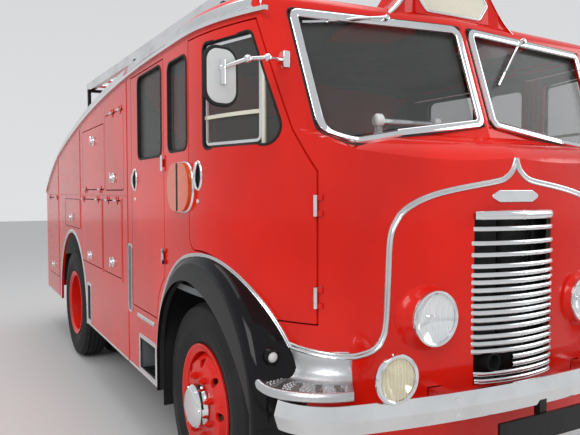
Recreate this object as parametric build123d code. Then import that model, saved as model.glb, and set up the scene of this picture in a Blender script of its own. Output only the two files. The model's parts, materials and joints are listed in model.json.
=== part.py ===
from build123d import *
import os
from math import atan2, cos, degrees, pi, sin, sqrt

# Full-front fire engine. Millimetres, nose towards -Y, off side at -X, floor at z = 0.
# Y stations are measured from a datum just behind the front axle; save() centres the whole.
# Nearly everything is modelled on the off side and mirrored.
os.makedirs("parts", exist_ok=True)

# body
BODY_HALF = 1131          # half width at the widest station
FLANK_Y = -30             # the widest station
TAIL_HALF = 1036          # half width at the tail
TAIL_Y = 4720             # rear wall
NOSE_Y = -985             # front panel on the centre line
CORNER = (-860, -895)     # where the front and the flank would meet, before rounding
CORNER_R = 250
SKIRT_Z = 418             # bottom of the skirts
GUTTER_Z = 2203           # gutter over the cab
EAVE = 105                # height of the rounded eave above the gutter
EAVE_R = 90
SKIN = 24                 # thickness of the body walls
JOINT_Y = 1062            # panel joint of cab and rear body
JOINT_GAP = 4
SEAM = 7                  # gap round a door or lid

# running gear
FRONT_Y = -90
REAR_Y = 3100
TYRE_R = 480
TYRE_W = 226
BEAD_R = 258
RIM_R = 284
FRONT_X = 972             # middle plane of the front tyre
REAR_X = (948, 684)       # middle planes of the twin tyres
KING_X = 872
KING_R = 20
STUB_R = 28
REAR_STUB_R = 35
FIT = 0.05                # radial clearance of a running fit
SEAT = 0.3                # clearance of a curved seat

# frame
RAIL_X = 395              # inner edge of a frame rail
RAIL_W = 70
RAIL_Z = 600
RAIL_H = 190
FLOOR_Z = 1000            # underside of the front cab floor
CREW_FLOOR_Z = RAIL_Z + RAIL_H + 10
LOCKER_FLOOR_Z = 880

# doors and windows
DOOR_T = 34
LID_T = 22
CAB_HINGE_Y = -832         # front seam of the driver's door and its hinge line
DOOR_REAR_Y = -80
SILL_Z = 1672             # bottom of the side windows
HEAD_Z = 2128             # top of the side windows
DOOR_TOP_Z = 2172
HINGE_PROUD = 11          # hinge axis outside the body surface
BARREL_R = 8
GLASS_T = 6
GLASS_IN = 14             # glass behind the outer surface

# front arch and its wing
LIP_X = 1145
WELL_X = 580              # inner side of the front wheel space
REAR_ARCH_R = 672
REAR_ARCH_Z = 450
REAR_WELL_X = 540

TAPER = atan2(BODY_HALF - TAIL_HALF, TAIL_Y - FLANK_Y)
FLANK_D = (BODY_HALF + CORNER[0], FLANK_Y - CORNER[1])
FLANK_R = (FLANK_D[0] ** 2 + FLANK_D[1] ** 2) / (2 * (FLANK_D[0] * cos(TAPER) + FLANK_D[1] * sin(TAPER)))
FLANK_C = (BODY_HALF - FLANK_R * cos(TAPER), FLANK_Y - FLANK_R * sin(TAPER))


def half_width(y, proud=0):
    """Half width of the body at a station, or of a surface that lies outside it."""
    if y < FLANK_Y:
        return FLANK_C[0] + sqrt((FLANK_R + proud) ** 2 - (y - FLANK_C[1]) ** 2)
    return BODY_HALF - (y - FLANK_Y) * sin(TAPER) / cos(TAPER) + proud / cos(TAPER)


def save(shape, name):
    export_step(Pos(0, -MID_Y, 0) * shape, f"parts/{name}.step")


def both(shape):
    """The shape and its mirror image on the near side."""
    return Compound(children=[shape, mirror(shape, about=Plane.YZ)])


def near_side(shape):
    return mirror(shape, about=Plane.YZ)


def outline(*pieces):
    """Face inside a closed run of lines and arcs."""
    return make_face([e for piece in pieces for e in piece.edges()])


def poly(points):
    return make_face(Polyline(*points, close=True))


def side_poly(points):
    """Face in side view from a list of (y, z)."""
    return poly([(0, y, z) for y, z in points])


def across(face, x0, x1):
    """A side-view face drawn out between two x."""
    return extrude(Pos(x0, 0, 0) * face, amount=x1 - x0, dir=(1, 0, 0))


def box(x0, x1, y0, y1, z0, z1):
    return Pos((x0 + x1) / 2, (y0 + y1) / 2, (z0 + z1) / 2) * Box(x1 - x0, y1 - y0, z1 - z0)


def rod_x(r, x0, x1, y, z):
    return Pos((x0 + x1) / 2, y, z) * Rot(0, 90, 0) * Cylinder(r, x1 - x0)


def rod_y(r, y0, y1, x, z):
    return Pos(x, (y0 + y1) / 2, z) * Rot(90, 0, 0) * Cylinder(r, y1 - y0)


def rod_z(r, z0, z1, x, y):
    return Pos(x, y, (z0 + z1) / 2) * Cylinder(r, z1 - z0)


def rod(a, b, r):
    """Round bar between two points."""
    v = Vector(*b) - Vector(*a)
    return Plane(origin=a, z_dir=v) * Cylinder(r, v.length, align=(Align.CENTER, Align.CENTER, Align.MIN))


def joined(shapes):
    """One shape from a list that overlaps or meets face to face."""
    first = shapes[0]
    for shape in shapes[1:]:
        first = first + shape
    return first


def turned_x(points, x, y, z, side=-1):
    """Ring about an axle from (outwards, radius) pairs, outwards of a middle plane at x."""
    face = poly([(side * (x + out), r, 0) for out, r in points])
    return Pos(0, y, z) * revolve(face, axis=Axis.X)


def turned_y(points, x, z):
    """Ring about a line along Y from (y, radius) pairs."""
    face = poly([(r, y, 0) for y, r in points])
    return Pos(x, 0, z) * revolve(face, axis=Axis.Y)


# body form: plan outline, side outline and raked front, cut together
def plan_face(inset):
    start = (-BODY_HALF, FLANK_Y)
    tail = (-TAIL_HALF, TAIL_Y)
    front = ThreePointArc(CORNER, (0, NOSE_Y), (-CORNER[0], CORNER[1]))
    half = [TangentArc(start, CORNER, tangent=(start[0] - tail[0], start[1] - tail[1])), Line(start, tail)]
    other = [mirror(e, about=Plane.YZ) for e in half]
    face = outline(front, *half, Line(tail, (-tail[0], tail[1])), *other)
    face = fillet(face.vertices().sort_by(Axis.Y)[:2], CORNER_R)
    if inset:
        face = offset(face, amount=-inset, kind=Kind.INTERSECTION)
    return face


def plan_solid(inset, z0, z1):
    return extrude(Pos(0, 0, z0) * plan_face(inset), amount=z1 - z0)


ROOF = [
    # y and drop below the cab's roof
    (-1400, 0),
    (300, 0),
    (1950, 79),
    (3600, 317),
    (4130, 462),
    (TAIL_Y, 727),
]


def side_solid(inset, bottom):
    """Everything under the roof line, full width."""
    top = GUTTER_Z + EAVE - inset
    p = [(0, y, top - drop) for y, drop in ROOF]
    end = (0, TAIL_Y + 300, p[5][2] - 165)
    low = [(0, end[1], bottom), (0, p[0][1], bottom)]
    face = outline(
        Line(p[0], p[1]), ThreePointArc(p[1], p[2], p[3]), ThreePointArc(p[3], p[4], p[5]), Line(p[5], end),
        Line(end, low[0]), Line(low[0], low[1]), Line(low[1], p[0]))
    return extrude(face, amount=1400, both=True)


SCREEN_FOOT = (-838, 1722)     # y, z of the screen plane on the centre line
SCREEN_HEAD = (-640, 2290)
SWEEP = 0.075                  # backward sweep of each half of the front
SCUTTLE_Z = 1480               # where the front panel begins to round back
RAKE = (SCREEN_HEAD[0] - SCREEN_FOOT[0]) / (SCREEN_HEAD[1] - SCREEN_FOOT[1])


def screen_y(x, z, inset=0):
    """Station of the screen plane at a height."""
    return SCREEN_FOOT[0] + (z - SCREEN_FOOT[1]) * RAKE + SWEEP * abs(x) + inset * sqrt(1 + RAKE * RAKE)


def front_cut(inset):
    """What lies ahead of the scuttle and the two screen planes, on the off half."""
    nose = NOSE_Y - 45 + inset
    foot = (screen_y(0, SCREEN_FOOT[1], inset), SCREEN_FOOT[1])
    p = [(0, nose, 100), (0, nose, SCUTTLE_Z), (0, NOSE_Y + 2 + inset, SCUTTLE_Z + 148 - inset / 2),
         (0, foot[0] - 30, foot[1] - 20 - inset), (0, foot[0], foot[1] - inset),
         (0, screen_y(0, 2700, inset), 2700), (0, -1900, 2700), (0, -1900, 100)]
    face = outline(
        Line(p[0], p[1]), ThreePointArc(p[1], p[2], p[3]), Line(p[3], p[4]), Line(p[4], p[5]),
        Line(p[5], p[6]), Line(p[6], p[7]), Line(p[7], p[0]))
    return extrude(face, amount=1400, dir=(-1, SWEEP, 0))


def form(inset, bottom):
    """The closed body form with sharp eaves, moved inwards by the inset."""
    ahead = front_cut(inset)
    prism = plan_solid(inset, bottom, 2800)
    return (prism & side_solid(inset, bottom)) - ahead - mirror(ahead, about=Plane.YZ)


def rounded_form(inset, bottom):
    shape = form(inset, bottom)
    edges = []
    for e in shape.edges():
        c, t = e.center(), e.tangent_at(0.5)
        along = abs(c.X) > 900 and c.Z > 1600 and e.length > 300 and abs(t.Z) < 0.6 and abs(t.X) < 0.6
        header = c.Z > GUTTER_Z + EAVE - inset - 5 and c.Y < -450 and e.length > 300 and abs(t.X) > 0.9
        if along or header:
            edges.append(e)
    return fillet(edges, EAVE_R - inset)


outer = rounded_form(0, SKIRT_Z)
inner = rounded_form(SKIN, SKIRT_Z - 50)
skin_shell = outer - inner
door_core = form(DOOR_T, SKIRT_Z - 50)
lid_core = form(LID_T, SKIRT_Z - 50)
glass_slab = form(GLASS_IN, SKIRT_Z) - form(GLASS_IN + GLASS_T, SKIRT_Z)


# outlines in side view
def cab_door_face():
    return outline(
        Line((0, CAB_HINGE_Y, 975), (0, CAB_HINGE_Y, 1560)), Line((0, CAB_HINGE_Y, 1560), (0, -742, 1722)),
        Line((0, -742, 1722), (0, -582, DOOR_TOP_Z)),
        Line((0, -582, DOOR_TOP_Z), (0, DOOR_REAR_Y, DOOR_TOP_Z)),
        Line((0, DOOR_REAR_Y, DOOR_TOP_Z), (0, DOOR_REAR_Y, 1290)),
        ThreePointArc((0, DOOR_REAR_Y, 1290), (0, -100, 1237), (0, -152, 1216)),
        ThreePointArc((0, -152, 1216), (0, -440, 1158), (0, -667, 975)),
        Line((0, -667, 975), (0, CAB_HINGE_Y, 975)))


def cab_window_face():
    face = side_poly([(-724, SILL_Z), (-556, HEAD_Z), (-236, HEAD_Z), (-236, SILL_Z)])
    front = face.vertices().sort_by(Axis.Y)
    face = fillet([front[0]], 70)
    return fillet(face.vertices().filter_by(lambda v: v.Y > -600), 32)


CREW_FRONT_Y = 305
CREW_REAR_Y = 957
CREW_FOOT_Z = 800


def crew_door_face():
    return outline(
        Line((0, CREW_FRONT_Y, 1040), (0, CREW_FRONT_Y, DOOR_TOP_Z - 10)),
        Line((0, CREW_FRONT_Y, DOOR_TOP_Z - 10), (0, CREW_REAR_Y, DOOR_TOP_Z - 10)),
        Line((0, CREW_REAR_Y, DOOR_TOP_Z - 10), (0, CREW_REAR_Y, CREW_FOOT_Z)),
        Line((0, CREW_REAR_Y, CREW_FOOT_Z), (0, 455, CREW_FOOT_Z)),
        ThreePointArc((0, 455, CREW_FOOT_Z), (0, 410, 935), (0, CREW_FRONT_Y, 1040)))


def window_face(y0, y1, z0, z1, r):
    return Plane.YZ * Pos((y0 + y1) / 2, (z0 + z1) / 2) * RectangleRounded(y1 - y0, z1 - z0, r)


CREW_WINDOW = (345, 800, SILL_Z, 2140, 45)
QUARTER_WINDOW = (-55, 225, SILL_Z + 10, 2120, 45)

REACH = (-1400, -560)     # side prisms cut the off wall between these x


def opening(face):
    return across(offset(face, amount=SEAM / 2, kind=Kind.ARC), *REACH)


def panel(face, core):
    """A door or lid: the wall's outer layer inside an outline."""
    return (outer - core) & across(offset(face, amount=-SEAM / 2, kind=Kind.INTERSECTION), *REACH)


# hinges: a barrel on the moving panel between two on the body, about one line
BARREL = 40
LEAF = 26
LEAF_T = 4                # how far a leaf stands out of, and reaches into, the wall
LEAF_GAP = 4              # from the hinge line to a leaf


def hinge(place, turn):
    """Moving and fixed halves at a place whose z axis is the hinge line and whose x axis points outwards.

    turn is +1 where the moving leaf lies towards the local +y."""
    def half(side, at, length):
        leaf = Pos(-HINGE_PROUD, side * (LEAF + LEAF_GAP) / 2, at) * Box(2 * LEAF_T, LEAF - LEAF_GAP, length)
        web = Pos(-HINGE_PROUD / 2, side * (LEAF_GAP + 2), at) * Box(HINGE_PROUD, 4, length)
        return Pos(0, 0, at) * Cylinder(BARREL_R, length) + web + leaf

    moving = half(turn, 0, BARREL)
    fixed = [half(-turn, end * (BARREL * 0.75 + SEAT), BARREL / 2) for end in (1, -1)]
    return place * moving, [place * f for f in fixed]


def upright_hinge(y, z):
    """Hinge place with a vertical line on the off wall at a station."""
    x = half_width(y)
    if y < FLANK_Y:
        turn = degrees(atan2(y - FLANK_C[1], x - FLANK_C[0]))
    else:
        turn = degrees(TAPER)
    return Pos(-x, y, z) * Rot(0, 0, 180 - turn) * Pos(HINGE_PROUD, 0, 0)


def level_hinge(y, z):
    """Hinge place with its line along the off wall; local y is up."""
    return Pos(-half_width(y), y, z) * Rot(0, 0, 180 - degrees(TAPER)) * Pos(HINGE_PROUD, 0, 0) * Rot(90, 0, 0)


fixed_hinges = []


def hinged(shape, places, turn):
    for place in places:
        moving, fixed = hinge(place, turn)
        shape = shape + moving
        fixed_hinges.extend(fixed)
    return shape


def pillar_room(depth):
    """Where the screen pillar stands, inside the driver's door by a depth from the outer surface."""
    return rod_z(FLANK_R - depth, 900, 2300, -FLANK_C[0], FLANK_C[1]) & box(-1400, 0, -1300, -540, 900, 2300)


cab_door = panel(cab_door_face(), door_core) - across(cab_window_face(), *REACH) - pillar_room(DOOR_T + 1)
# the slanted front edge is thin, as it swings forwards past the pillar
rebate = across(cab_door_face() - offset(cab_door_face(), amount=-18, kind=Kind.INTERSECTION), *REACH)
cab_door = cab_door - (rebate & pillar_room(7) & box(-1400, 0, -1300, -540, 1580, 2300))
cab_door = hinged(cab_door, [upright_hinge(CAB_HINGE_Y, z) for z in (1430, 1080)], -1)
crew_window = window_face(*CREW_WINDOW)
crew_door = panel(crew_door_face(), door_core) - across(crew_window, *REACH)
crew_door = hinged(crew_door, [upright_hinge(CREW_FRONT_Y, z) for z in (1630, 1150)], -1)
cab_glass_off = glass_slab & across(cab_window_face(), *REACH)
crew_glass_off = glass_slab & across(crew_window, *REACH)

LOCKERS = [
    # name, front y, rear y, bottom z, top z, hinge stations, hinged at the top (-1) or at the bottom (1)
    ("upper_front", 1155, 1690, 1495, 2010, (1235, 1450), -1),
    ("upper_rear", 1722, 2540, 1500, 1968, (1850, 2410), 1),
    ("lower_front", 1240, 1780, 918, 1425, (1349, 1619), -1),
    ("lower_middle", 1830, 2620, 918, 1425, (1957, 2514), -1),
    ("lower_rear", 3900, 4550, 620, 1425, (3968, 4450), -1),
]
LID_R = 28

locker_openings = []
lids = []
for name, y0, y1, z0, z1, stations, side in LOCKERS:
    face = window_face(y0, y1, z0, z1, LID_R)
    line_z = z1 if side < 0 else z0
    lids.append(hinged(panel(face, lid_core), [level_hinge(y, line_z) for y in stations], side))
    locker_openings.append(opening(face))

# rear lid over the pump
REAR_LID = (450, 600, 1400)     # half width, bottom, top
rear_lid = box(-REAR_LID[0], REAR_LID[0], TAIL_Y - LID_T, TAIL_Y, REAR_LID[1], REAR_LID[2])
rear_opening = box(-REAR_LID[0] - SEAM, REAR_LID[0] + SEAM, TAIL_Y - 60, TAIL_Y + 60,
                   REAR_LID[1] - SEAM, REAR_LID[2] + SEAM)
REAR_LINE_Z = REAR_LID[2] + SEAM / 2
for x in (-300, 300):
    place = Pos(x, TAIL_Y + HINGE_PROUD, REAR_LINE_Z) * Rot(0, 0, 90) * Rot(90, 0, 0)
    moving, fixed = hinge(place, -1)
    rear_lid = rear_lid + moving
    if x < 0:
        fixed_hinges.extend(fixed)

# front arch: the wheel opening with its lip, and the wing's crown outside it
LIP = [(410, 200), (410, 600), (-130, 1060), (-740, 640), (-740, 200)]
CROWN = [(440, 200), (440, 592), (-175, 1207), (-802, 580), (-802, 200)]
CROWN_R = 55


def arch_face(points):
    """Wheel opening in side view: upright behind, two arcs over the wheel."""
    p = [(0, y, z) for y, z in points]
    rear = Line(p[0], p[1])
    over = TangentArc(p[1], p[2], tangent=(0, 0, 1))
    down = TangentArc(p[2], p[3], tangent=over % 1)
    return outline(rear, over, down, Line(p[3], p[4]), Line(p[4], p[0]))


front_opening = across(arch_face(LIP), -1500, -WELL_X)
rear_well = rod_x(REAR_ARCH_R, -1500, -REAR_WELL_X, REAR_Y, REAR_ARCH_Z) \
    + box(-1500, -REAR_WELL_X, REAR_Y - REAR_ARCH_R, REAR_Y + REAR_ARCH_R, 100, REAR_ARCH_Z)

# step recesses in the skirts: an open box behind a hole in the wall
RECESSES = [
    # front y, rear y, bottom z, top z, depth
    (480, 810, 440, 640, 170),
    (2270, 2400, 450, 745, 120),
]
RECESS_T = 5


def recess(y0, y1, z0, z1, depth):
    x = half_width((y0 + y1) / 2)
    hole = box(-x - 50, -x + depth, y0, y1, z0, z1)
    liner = box(-x + SKIN / 2, -x + depth + RECESS_T, y0 - RECESS_T, y1 + RECESS_T,
                z0 - RECESS_T, z1 + RECESS_T)
    return hole, liner


# windscreen: two panes, outline in front view
PANE = [(-24, 1772), (-500, 1708), (-800, 1655), (-866, 1760), (-897, 2226), (-24, 2243)]
FRAME_W = 32


def pane_face():
    p = [(x, -1200, z) for x, z in PANE]
    face = make_face(Polyline(*p, close=True))
    low = [v for v in face.vertices() if abs(v.X + 800) < 1 or abs(v.X + 866) < 1]
    return fillet(low, 48)


def ahead(face):
    """A front-view face drawn out through the screen."""
    return extrude(face, amount=800, dir=(0, 1, 0))


pane_hole = ahead(pane_face())
pane_inner = ahead(offset(pane_face(), amount=-FRAME_W, kind=Kind.INTERSECTION))
screen_glass = glass_slab & pane_inner
screen_frame = ((form(-8, SKIRT_Z) - form(SKIN, SKIRT_Z)) & pane_hole) - pane_inner - opening(cab_door_face())

GRILLE_HALF = 241
GRILLE_Z = (672, 1400)
GRILLE_Y = (-985, -1032)  # ends and middle of the bars
grille_hole = box(-GRILLE_HALF + 8, GRILLE_HALF - 8, NOSE_Y - 80, NOSE_Y + 80, GRILLE_Z[0] + 8, GRILLE_Z[1] - 8)

quarter = window_face(*QUARTER_WINDOW)

BRACKET_X = 430                # bumper brackets, which pass through the apron
BRACKET = (30, 630, 700)      # half width, bottom, top
bracket_slot = box(-BRACKET_X - BRACKET[0] - 3, -BRACKET_X + BRACKET[0] + 3, -1200, -900,
                   BRACKET[1] - 3, BRACKET[2] + 3)

# towing jaw under the rear lid
JAW = (45, 490, 570)          # half width, bottom, top
JAW_T = 18                    # thickness of each cheek
JAW_PIN = (4765, 20)          # station and radius of the pin hole
JAW_END = 4805
jaw_slot = box(-JAW[0] - 20, 0, TAIL_Y - 60, TAIL_Y + 60, JAW[1] - 12, JAW[2] + 12)

# cab and rear body: the off half is cut, then mirrored
cuts = [opening(cab_door_face()) - pillar_room(DOOR_T + 8), opening(crew_door_face()), across(quarter, *REACH), front_opening, rear_well]
cuts += locker_openings + [pane_hole] + [grille_hole, rear_opening, bracket_slot, jaw_slot]
half = skin_shell & box(-1500, 0, -1500, 6000, 0, 2800)
for cut in cuts:
    half = half - cut
for row in RECESSES:
    hole, liner = recess(*row)
    half = (half + liner) - hole
half = joined([half] + fixed_hinges)
cab_side = box(-1500, 0, -1500, JOINT_Y, 0, 2800)
rear_side = box(-1500, 0, JOINT_Y + JOINT_GAP, 6000, 0, 2800)
cab_wall = rounded_form(SKIN - 1, CREW_FLOOR_Z) & box(-1500, 0, JOINT_Y - SKIN, JOINT_Y, 0, 2800)
cab_half = (half & cab_side) + cab_wall
rear_half = half & rear_side
cab_shell = cab_half + mirror(cab_half, about=Plane.YZ)
rear_body = rear_half + mirror(rear_half, about=Plane.YZ)


# cab floor with the engine cover, and the walls below it
HUMP = (345, 430, 1290)       # half width, rear end, top
HUMP_T = 12
FLOOR_T = 30
STEP_Y = 500                  # where the floor drops to the crew's level
door_room = outer - form(DOOR_T + 8, SKIRT_Z)
side_room = door_room & (across(offset(cab_door_face(), amount=12, kind=Kind.ARC), *REACH)
                         + across(offset(crew_door_face(), amount=12, kind=Kind.ARC), *REACH))
inside = form(SKIN, SKIRT_Z + 1)
hump_plan = [(-HUMP[0], -1300, HUMP[1], HUMP[2]), (-HUMP[0], -1300, -780, HUMP[2] + 120)]
cab_floor = box(-1400, 0, -1300, STEP_Y, FLOOR_Z, FLOOR_Z + FLOOR_T)
cab_floor = cab_floor + box(-1400, 0, STEP_Y - HUMP_T, STEP_Y, CREW_FLOOR_Z, FLOOR_Z + FLOOR_T)
cab_floor = cab_floor + box(-1400, 0, STEP_Y - HUMP_T, JOINT_Y - SKIN, CREW_FLOOR_Z, CREW_FLOOR_Z + FLOOR_T)
for x, y0, y1, top in hump_plan:
    cab_floor = cab_floor + box(x, 0, y0, y1, FLOOR_Z, top)
for x, y0, y1, top in hump_plan:
    cab_floor = cab_floor - box(x + HUMP_T, 10, y0 - 10, y1 - HUMP_T, FLOOR_Z - 10, top - HUMP_T)
cab_floor = (cab_floor & inside) - side_room
cab_floor = cab_floor + near_side(cab_floor)

# floor, tank bay walls and wheel boxes of the rear body
BAY_X = 520                   # inner wall of the lockers
PLATE = 12
BULKHEADS = (1205, 1800, 2650, 3870)
lid_faces = [offset(window_face(*row[1:5], LID_R), amount=10, kind=Kind.ARC) for row in LOCKERS]
lid_room = (outer - form(LID_T + 6, SKIRT_Z)) & joined([across(face, *REACH) for face in lid_faces])
rear_inside = rounded_form(SKIN, LOCKER_FLOOR_Z - 300) \
    & box(-1400, 0, JOINT_Y + JOINT_GAP, TAIL_Y - SKIN, 0, 2800)
wheel_box = rod_x(REAR_ARCH_R + PLATE, -1400, -REAR_WELL_X + PLATE, REAR_Y, REAR_ARCH_Z)
bay = box(-1400, -430, JOINT_Y + JOINT_GAP, BULKHEADS[3], LOCKER_FLOOR_Z, LOCKER_FLOOR_Z + PLATE)
bay = bay + box(-BAY_X, -430, BULKHEADS[3], TAIL_Y - SKIN, LOCKER_FLOOR_Z, LOCKER_FLOOR_Z + PLATE)
bay = bay + box(-BAY_X, -BAY_X + PLATE, JOINT_Y + JOINT_GAP, TAIL_Y - SKIN, LOCKER_FLOOR_Z, 2400)
bay = bay + box(-1400, -BAY_X, BULKHEADS[1] - PLATE, 2600, 1452, 1452 + PLATE)
bay = bay + box(-1400, -BAY_X, BULKHEADS[3], TAIL_Y - SKIN, 590, 590 + PLATE)
bay = bay + box(-BAY_X, -BAY_X + PLATE, BULKHEADS[3], TAIL_Y - SKIN, 590, LOCKER_FLOOR_Z)
for y in BULKHEADS:
    bay = bay + box(-1400, -BAY_X + PLATE, y - PLATE, y, 590 if y > REAR_Y else LOCKER_FLOOR_Z, 2400)
bay = (bay + (wheel_box & box(-1400, 0, REAR_Y - 900, REAR_Y + 900, LOCKER_FLOOR_Z, 1400))) & rear_inside
bay = bay - rear_well - lid_room
bay = bay - box(-1400, -1000, JOINT_Y, 1200, 0, 880)
body_floor = both(bay)

# ladder-type frame: channel rails, cross members, body bearers and drawbar, riveted face to face
FRAME_Y = (-900, 4600)
CHANNEL_T = 8
RAIL_TOP = RAIL_Z + RAIL_H
CROSS_Y = (-865, 1050, 1700, 2400, 3700, 4400)
BEARERS = [
    # station, half length
    (1300, 1000),
    (2150, 1000),
    (3700, 1000),
    (4450, BAY_X - PLATE - 6),
]
rail = box(-RAIL_X - RAIL_W, -RAIL_X, *FRAME_Y, RAIL_Z, RAIL_TOP) \
    - box(-RAIL_X - RAIL_W + CHANNEL_T, -RAIL_X, *FRAME_Y, RAIL_Z + CHANNEL_T, RAIL_TOP - CHANNEL_T)
frame = [rail, near_side(rail)]
for y in CROSS_Y:
    inner_x = RAIL_X + RAIL_W - CHANNEL_T
    frame.append(box(-inner_x, inner_x, y - 30, y + 30, RAIL_TOP - 100, RAIL_TOP - CHANNEL_T))
for y, half_length in BEARERS:
    bearer = box(-half_length, half_length, y - 25, y + 25, RAIL_TOP, LOCKER_FLOOR_Z)
    for x0, x1 in ((-1010, -700), (700, 1010)):
        bearer = bearer - box(x0, x1, y - 40, y + 40, RAIL_Z, LOCKER_FLOOR_Z - 60)
    frame.append(bearer)
drawbar = box(-JAW[0], JAW[0], CROSS_Y[-1] - 30, JAW_END, JAW[1], JAW[2])
drawbar = drawbar + box(-JAW[0], JAW[0], CROSS_Y[-1] - 30, CROSS_Y[-1] + 30, JAW[2], RAIL_TOP - 100)
drawbar = drawbar - box(-JAW[0] - 5, JAW[0] + 5, TAIL_Y - 10, JAW_END + 5, JAW[1] + JAW_T, JAW[2] - JAW_T)
frame.append(drawbar - rod_z(JAW_PIN[1], JAW[1] - 5, JAW[2] + 5, 0, JAW_PIN[0]))

# leaf springs on hangers, one pair to each axle
SPRINGS = [
    # station of the axle, half length, seat height
    (FRONT_Y, 600, 545),
    (REAR_Y, 650, 560),
]
SPRING_X = (475, 535)
LEAF_N = 5
LEAF_H = 10
SPRING_RISE = 70


def arc_band(y, half, low, rise, thick):
    """A curved plate in side view, low in the middle."""
    a, b = (0, y - half, low + rise), (0, y + half, low + rise)
    c, d = (0, y - half, low + rise + thick), (0, y + half, low + rise + thick)
    under, over = ThreePointArc(a, (0, y, low), b), ThreePointArc(d, (0, y, low + thick), c)
    return outline(under, Line(b, d), over, Line(c, a))


springs = []
for y, half_length, low in SPRINGS:
    spring = None
    for k in range(LEAF_N):
        share = (half_length - 105 * (LEAF_N - 1 - k)) / half_length
        band = arc_band(y, half_length * share, low + LEAF_H * k, SPRING_RISE * share * share, LEAF_H + 0.5)
        leaf = across(band, -SPRING_X[1], -SPRING_X[0])
        spring = leaf if spring is None else spring + leaf
    eye_z = low + LEAF_H * (LEAF_N - 1) + SPRING_RISE + LEAF_H
    for end in (-1, 1):
        spring = spring + rod_x(18, -SPRING_X[1], -RAIL_X - RAIL_W, y + end * half_length, eye_z + 10)
    spring = spring + box(-SPRING_X[1], -SPRING_X[0], y - 55, y + 55, low - 25 if y < 0 else low - 20, low + 2)
    springs.append(spring)

# axles: front beam with kingpin eyes, rear casing with its stubs, and the shaft to it
EYE_Z = (430, 530)
beam = box(-KING_X + 20, KING_X - 20, FRONT_Y - 35, FRONT_Y + 35, 440, 520)
for x in (-KING_X, KING_X):
    beam = beam + rod_z(45, *EYE_Z, x, FRONT_Y)
for x in (-KING_X, KING_X):
    beam = beam - rod_z(KING_R + FIT, EYE_Z[0] - 5, EYE_Z[1] + 5, x, FRONT_Y)
CASING_R = 60
HUB_IN = 700                  # inner end of the rear hub
HUB_OUT = 965
casing = rod_x(CASING_R, -HUB_IN + 8, HUB_IN - 8, REAR_Y, TYRE_R) + Pos(0, REAR_Y, TYRE_R) * Sphere(165)
casing = casing + rod_x(REAR_STUB_R, -HUB_OUT + 60, HUB_OUT - 60, REAR_Y, TYRE_R)
GEARBOX_END = 900
shaft = rod((0, GEARBOX_END - 8, 640), (0, REAR_Y - 150, TYRE_R + 20), 38)
shaft = shaft - box(-60, 60, 800, GEARBOX_END, 560, 720)
axles = Compound(children=[beam, casing + shaft])

# engine and gearbox as plain blocks on brackets between the rails
ENGINE_HALF = 230
engine = [box(-ENGINE_HALF, ENGINE_HALF, -740, 330, 560, 1230), box(-160, 160, 330, GEARBOX_END, 570, 785)]
for y in (-500, 200):
    bracket = box(-RAIL_X - 55, -ENGINE_HALF, y - 35, y + 35, RAIL_Z + CHANNEL_T, RAIL_Z + 70)
    engine += [bracket, near_side(bracket)]
radiator = box(-300, 300, -900, -830, RAIL_Z + RAIL_H - CHANNEL_T, 1390)

# steering knuckles with their stubs
FORK_GAP = 5
fork_z = (EYE_Z[0] - FORK_GAP - 42, EYE_Z[1] + FORK_GAP + 42)
WEB_X = (922, 950)
knuckle = rod_z(KING_R, fork_z[0] - 20, fork_z[1] + 20, -KING_X, FRONT_Y)
for z0, z1 in ((fork_z[0], EYE_Z[0] - FORK_GAP), (EYE_Z[1] + FORK_GAP, fork_z[1])):
    knuckle = knuckle + rod_z(44, z0, z1, -KING_X, FRONT_Y)
    knuckle = knuckle + box(-WEB_X[1], -KING_X, FRONT_Y - 44, FRONT_Y + 44, z0, z1)
knuckle = knuckle + box(-WEB_X[1], -WEB_X[0], FRONT_Y - 44, FRONT_Y + 44, *fork_z)
knuckle = knuckle + rod_x(185, -WEB_X[1], -WEB_X[1] + 8, FRONT_Y, TYRE_R)
knuckle = knuckle + rod_x(STUB_R, -1060, -WEB_X[0] - 5, FRONT_Y, TYRE_R)
knuckle = knuckle + box(-KING_X - 20, -KING_X + 30, FRONT_Y, FRONT_Y + 180, fork_z[0], fork_z[0] + 22)

# wheels: (outwards of the middle plane, radius)
RIM = [(-102, RIM_R), (-93, RIM_R), (-76, BEAD_R - SEAT), (76, BEAD_R - SEAT), (93, RIM_R), (102, RIM_R),
       (102, RIM_R - 8), (88, BEAD_R - 12), (-88, BEAD_R - 12), (-102, RIM_R - 8)]
HAND_HOLES = 8
STUDS = 8
STUD_PCD = 275
FRONT_DISC = [(18, 247), (62, 238), (104, 205), (112, 170), (112, 40), (100, 40), (100, 166), (92, 198), (52, 228),
              (6, 236)]
FRONT_DRUM = [(-60, 204), (-60, 190), (-8, 190), (-8, 40), (10, 40), (10, 204)]
FRONT_FLANGE = [(4, 60), (4, 204), (20, 236), (30, 236), (24, 60)]
FRONT_HUB = [(-12, 0), (-12, 64), (100, 64), (112, 100), (150, 98), (168, 74), (172, 0)]


def studded(wheel, x, face_out, z_axis):
    """Nuts round a wheel's middle, on a face at x + face_out."""
    for k in range(STUDS):
        a = 2 * pi * (k + 0.5) / STUDS
        y, z = z_axis[0] + STUD_PCD / 2 * cos(a), z_axis[1] + STUD_PCD / 2 * sin(a)
        wheel = wheel + rod_x(14, -x - face_out - 26, -x - face_out + 6, y, z)
    return wheel


def holed(wheel, x0, x1, centre, ring_r, hole_r):
    for k in range(HAND_HOLES):
        a = 2 * pi * k / HAND_HOLES
        wheel = wheel - rod_x(hole_r, x0, x1, centre[0] + ring_r * cos(a), centre[1] + ring_r * sin(a))
    return wheel


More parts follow.
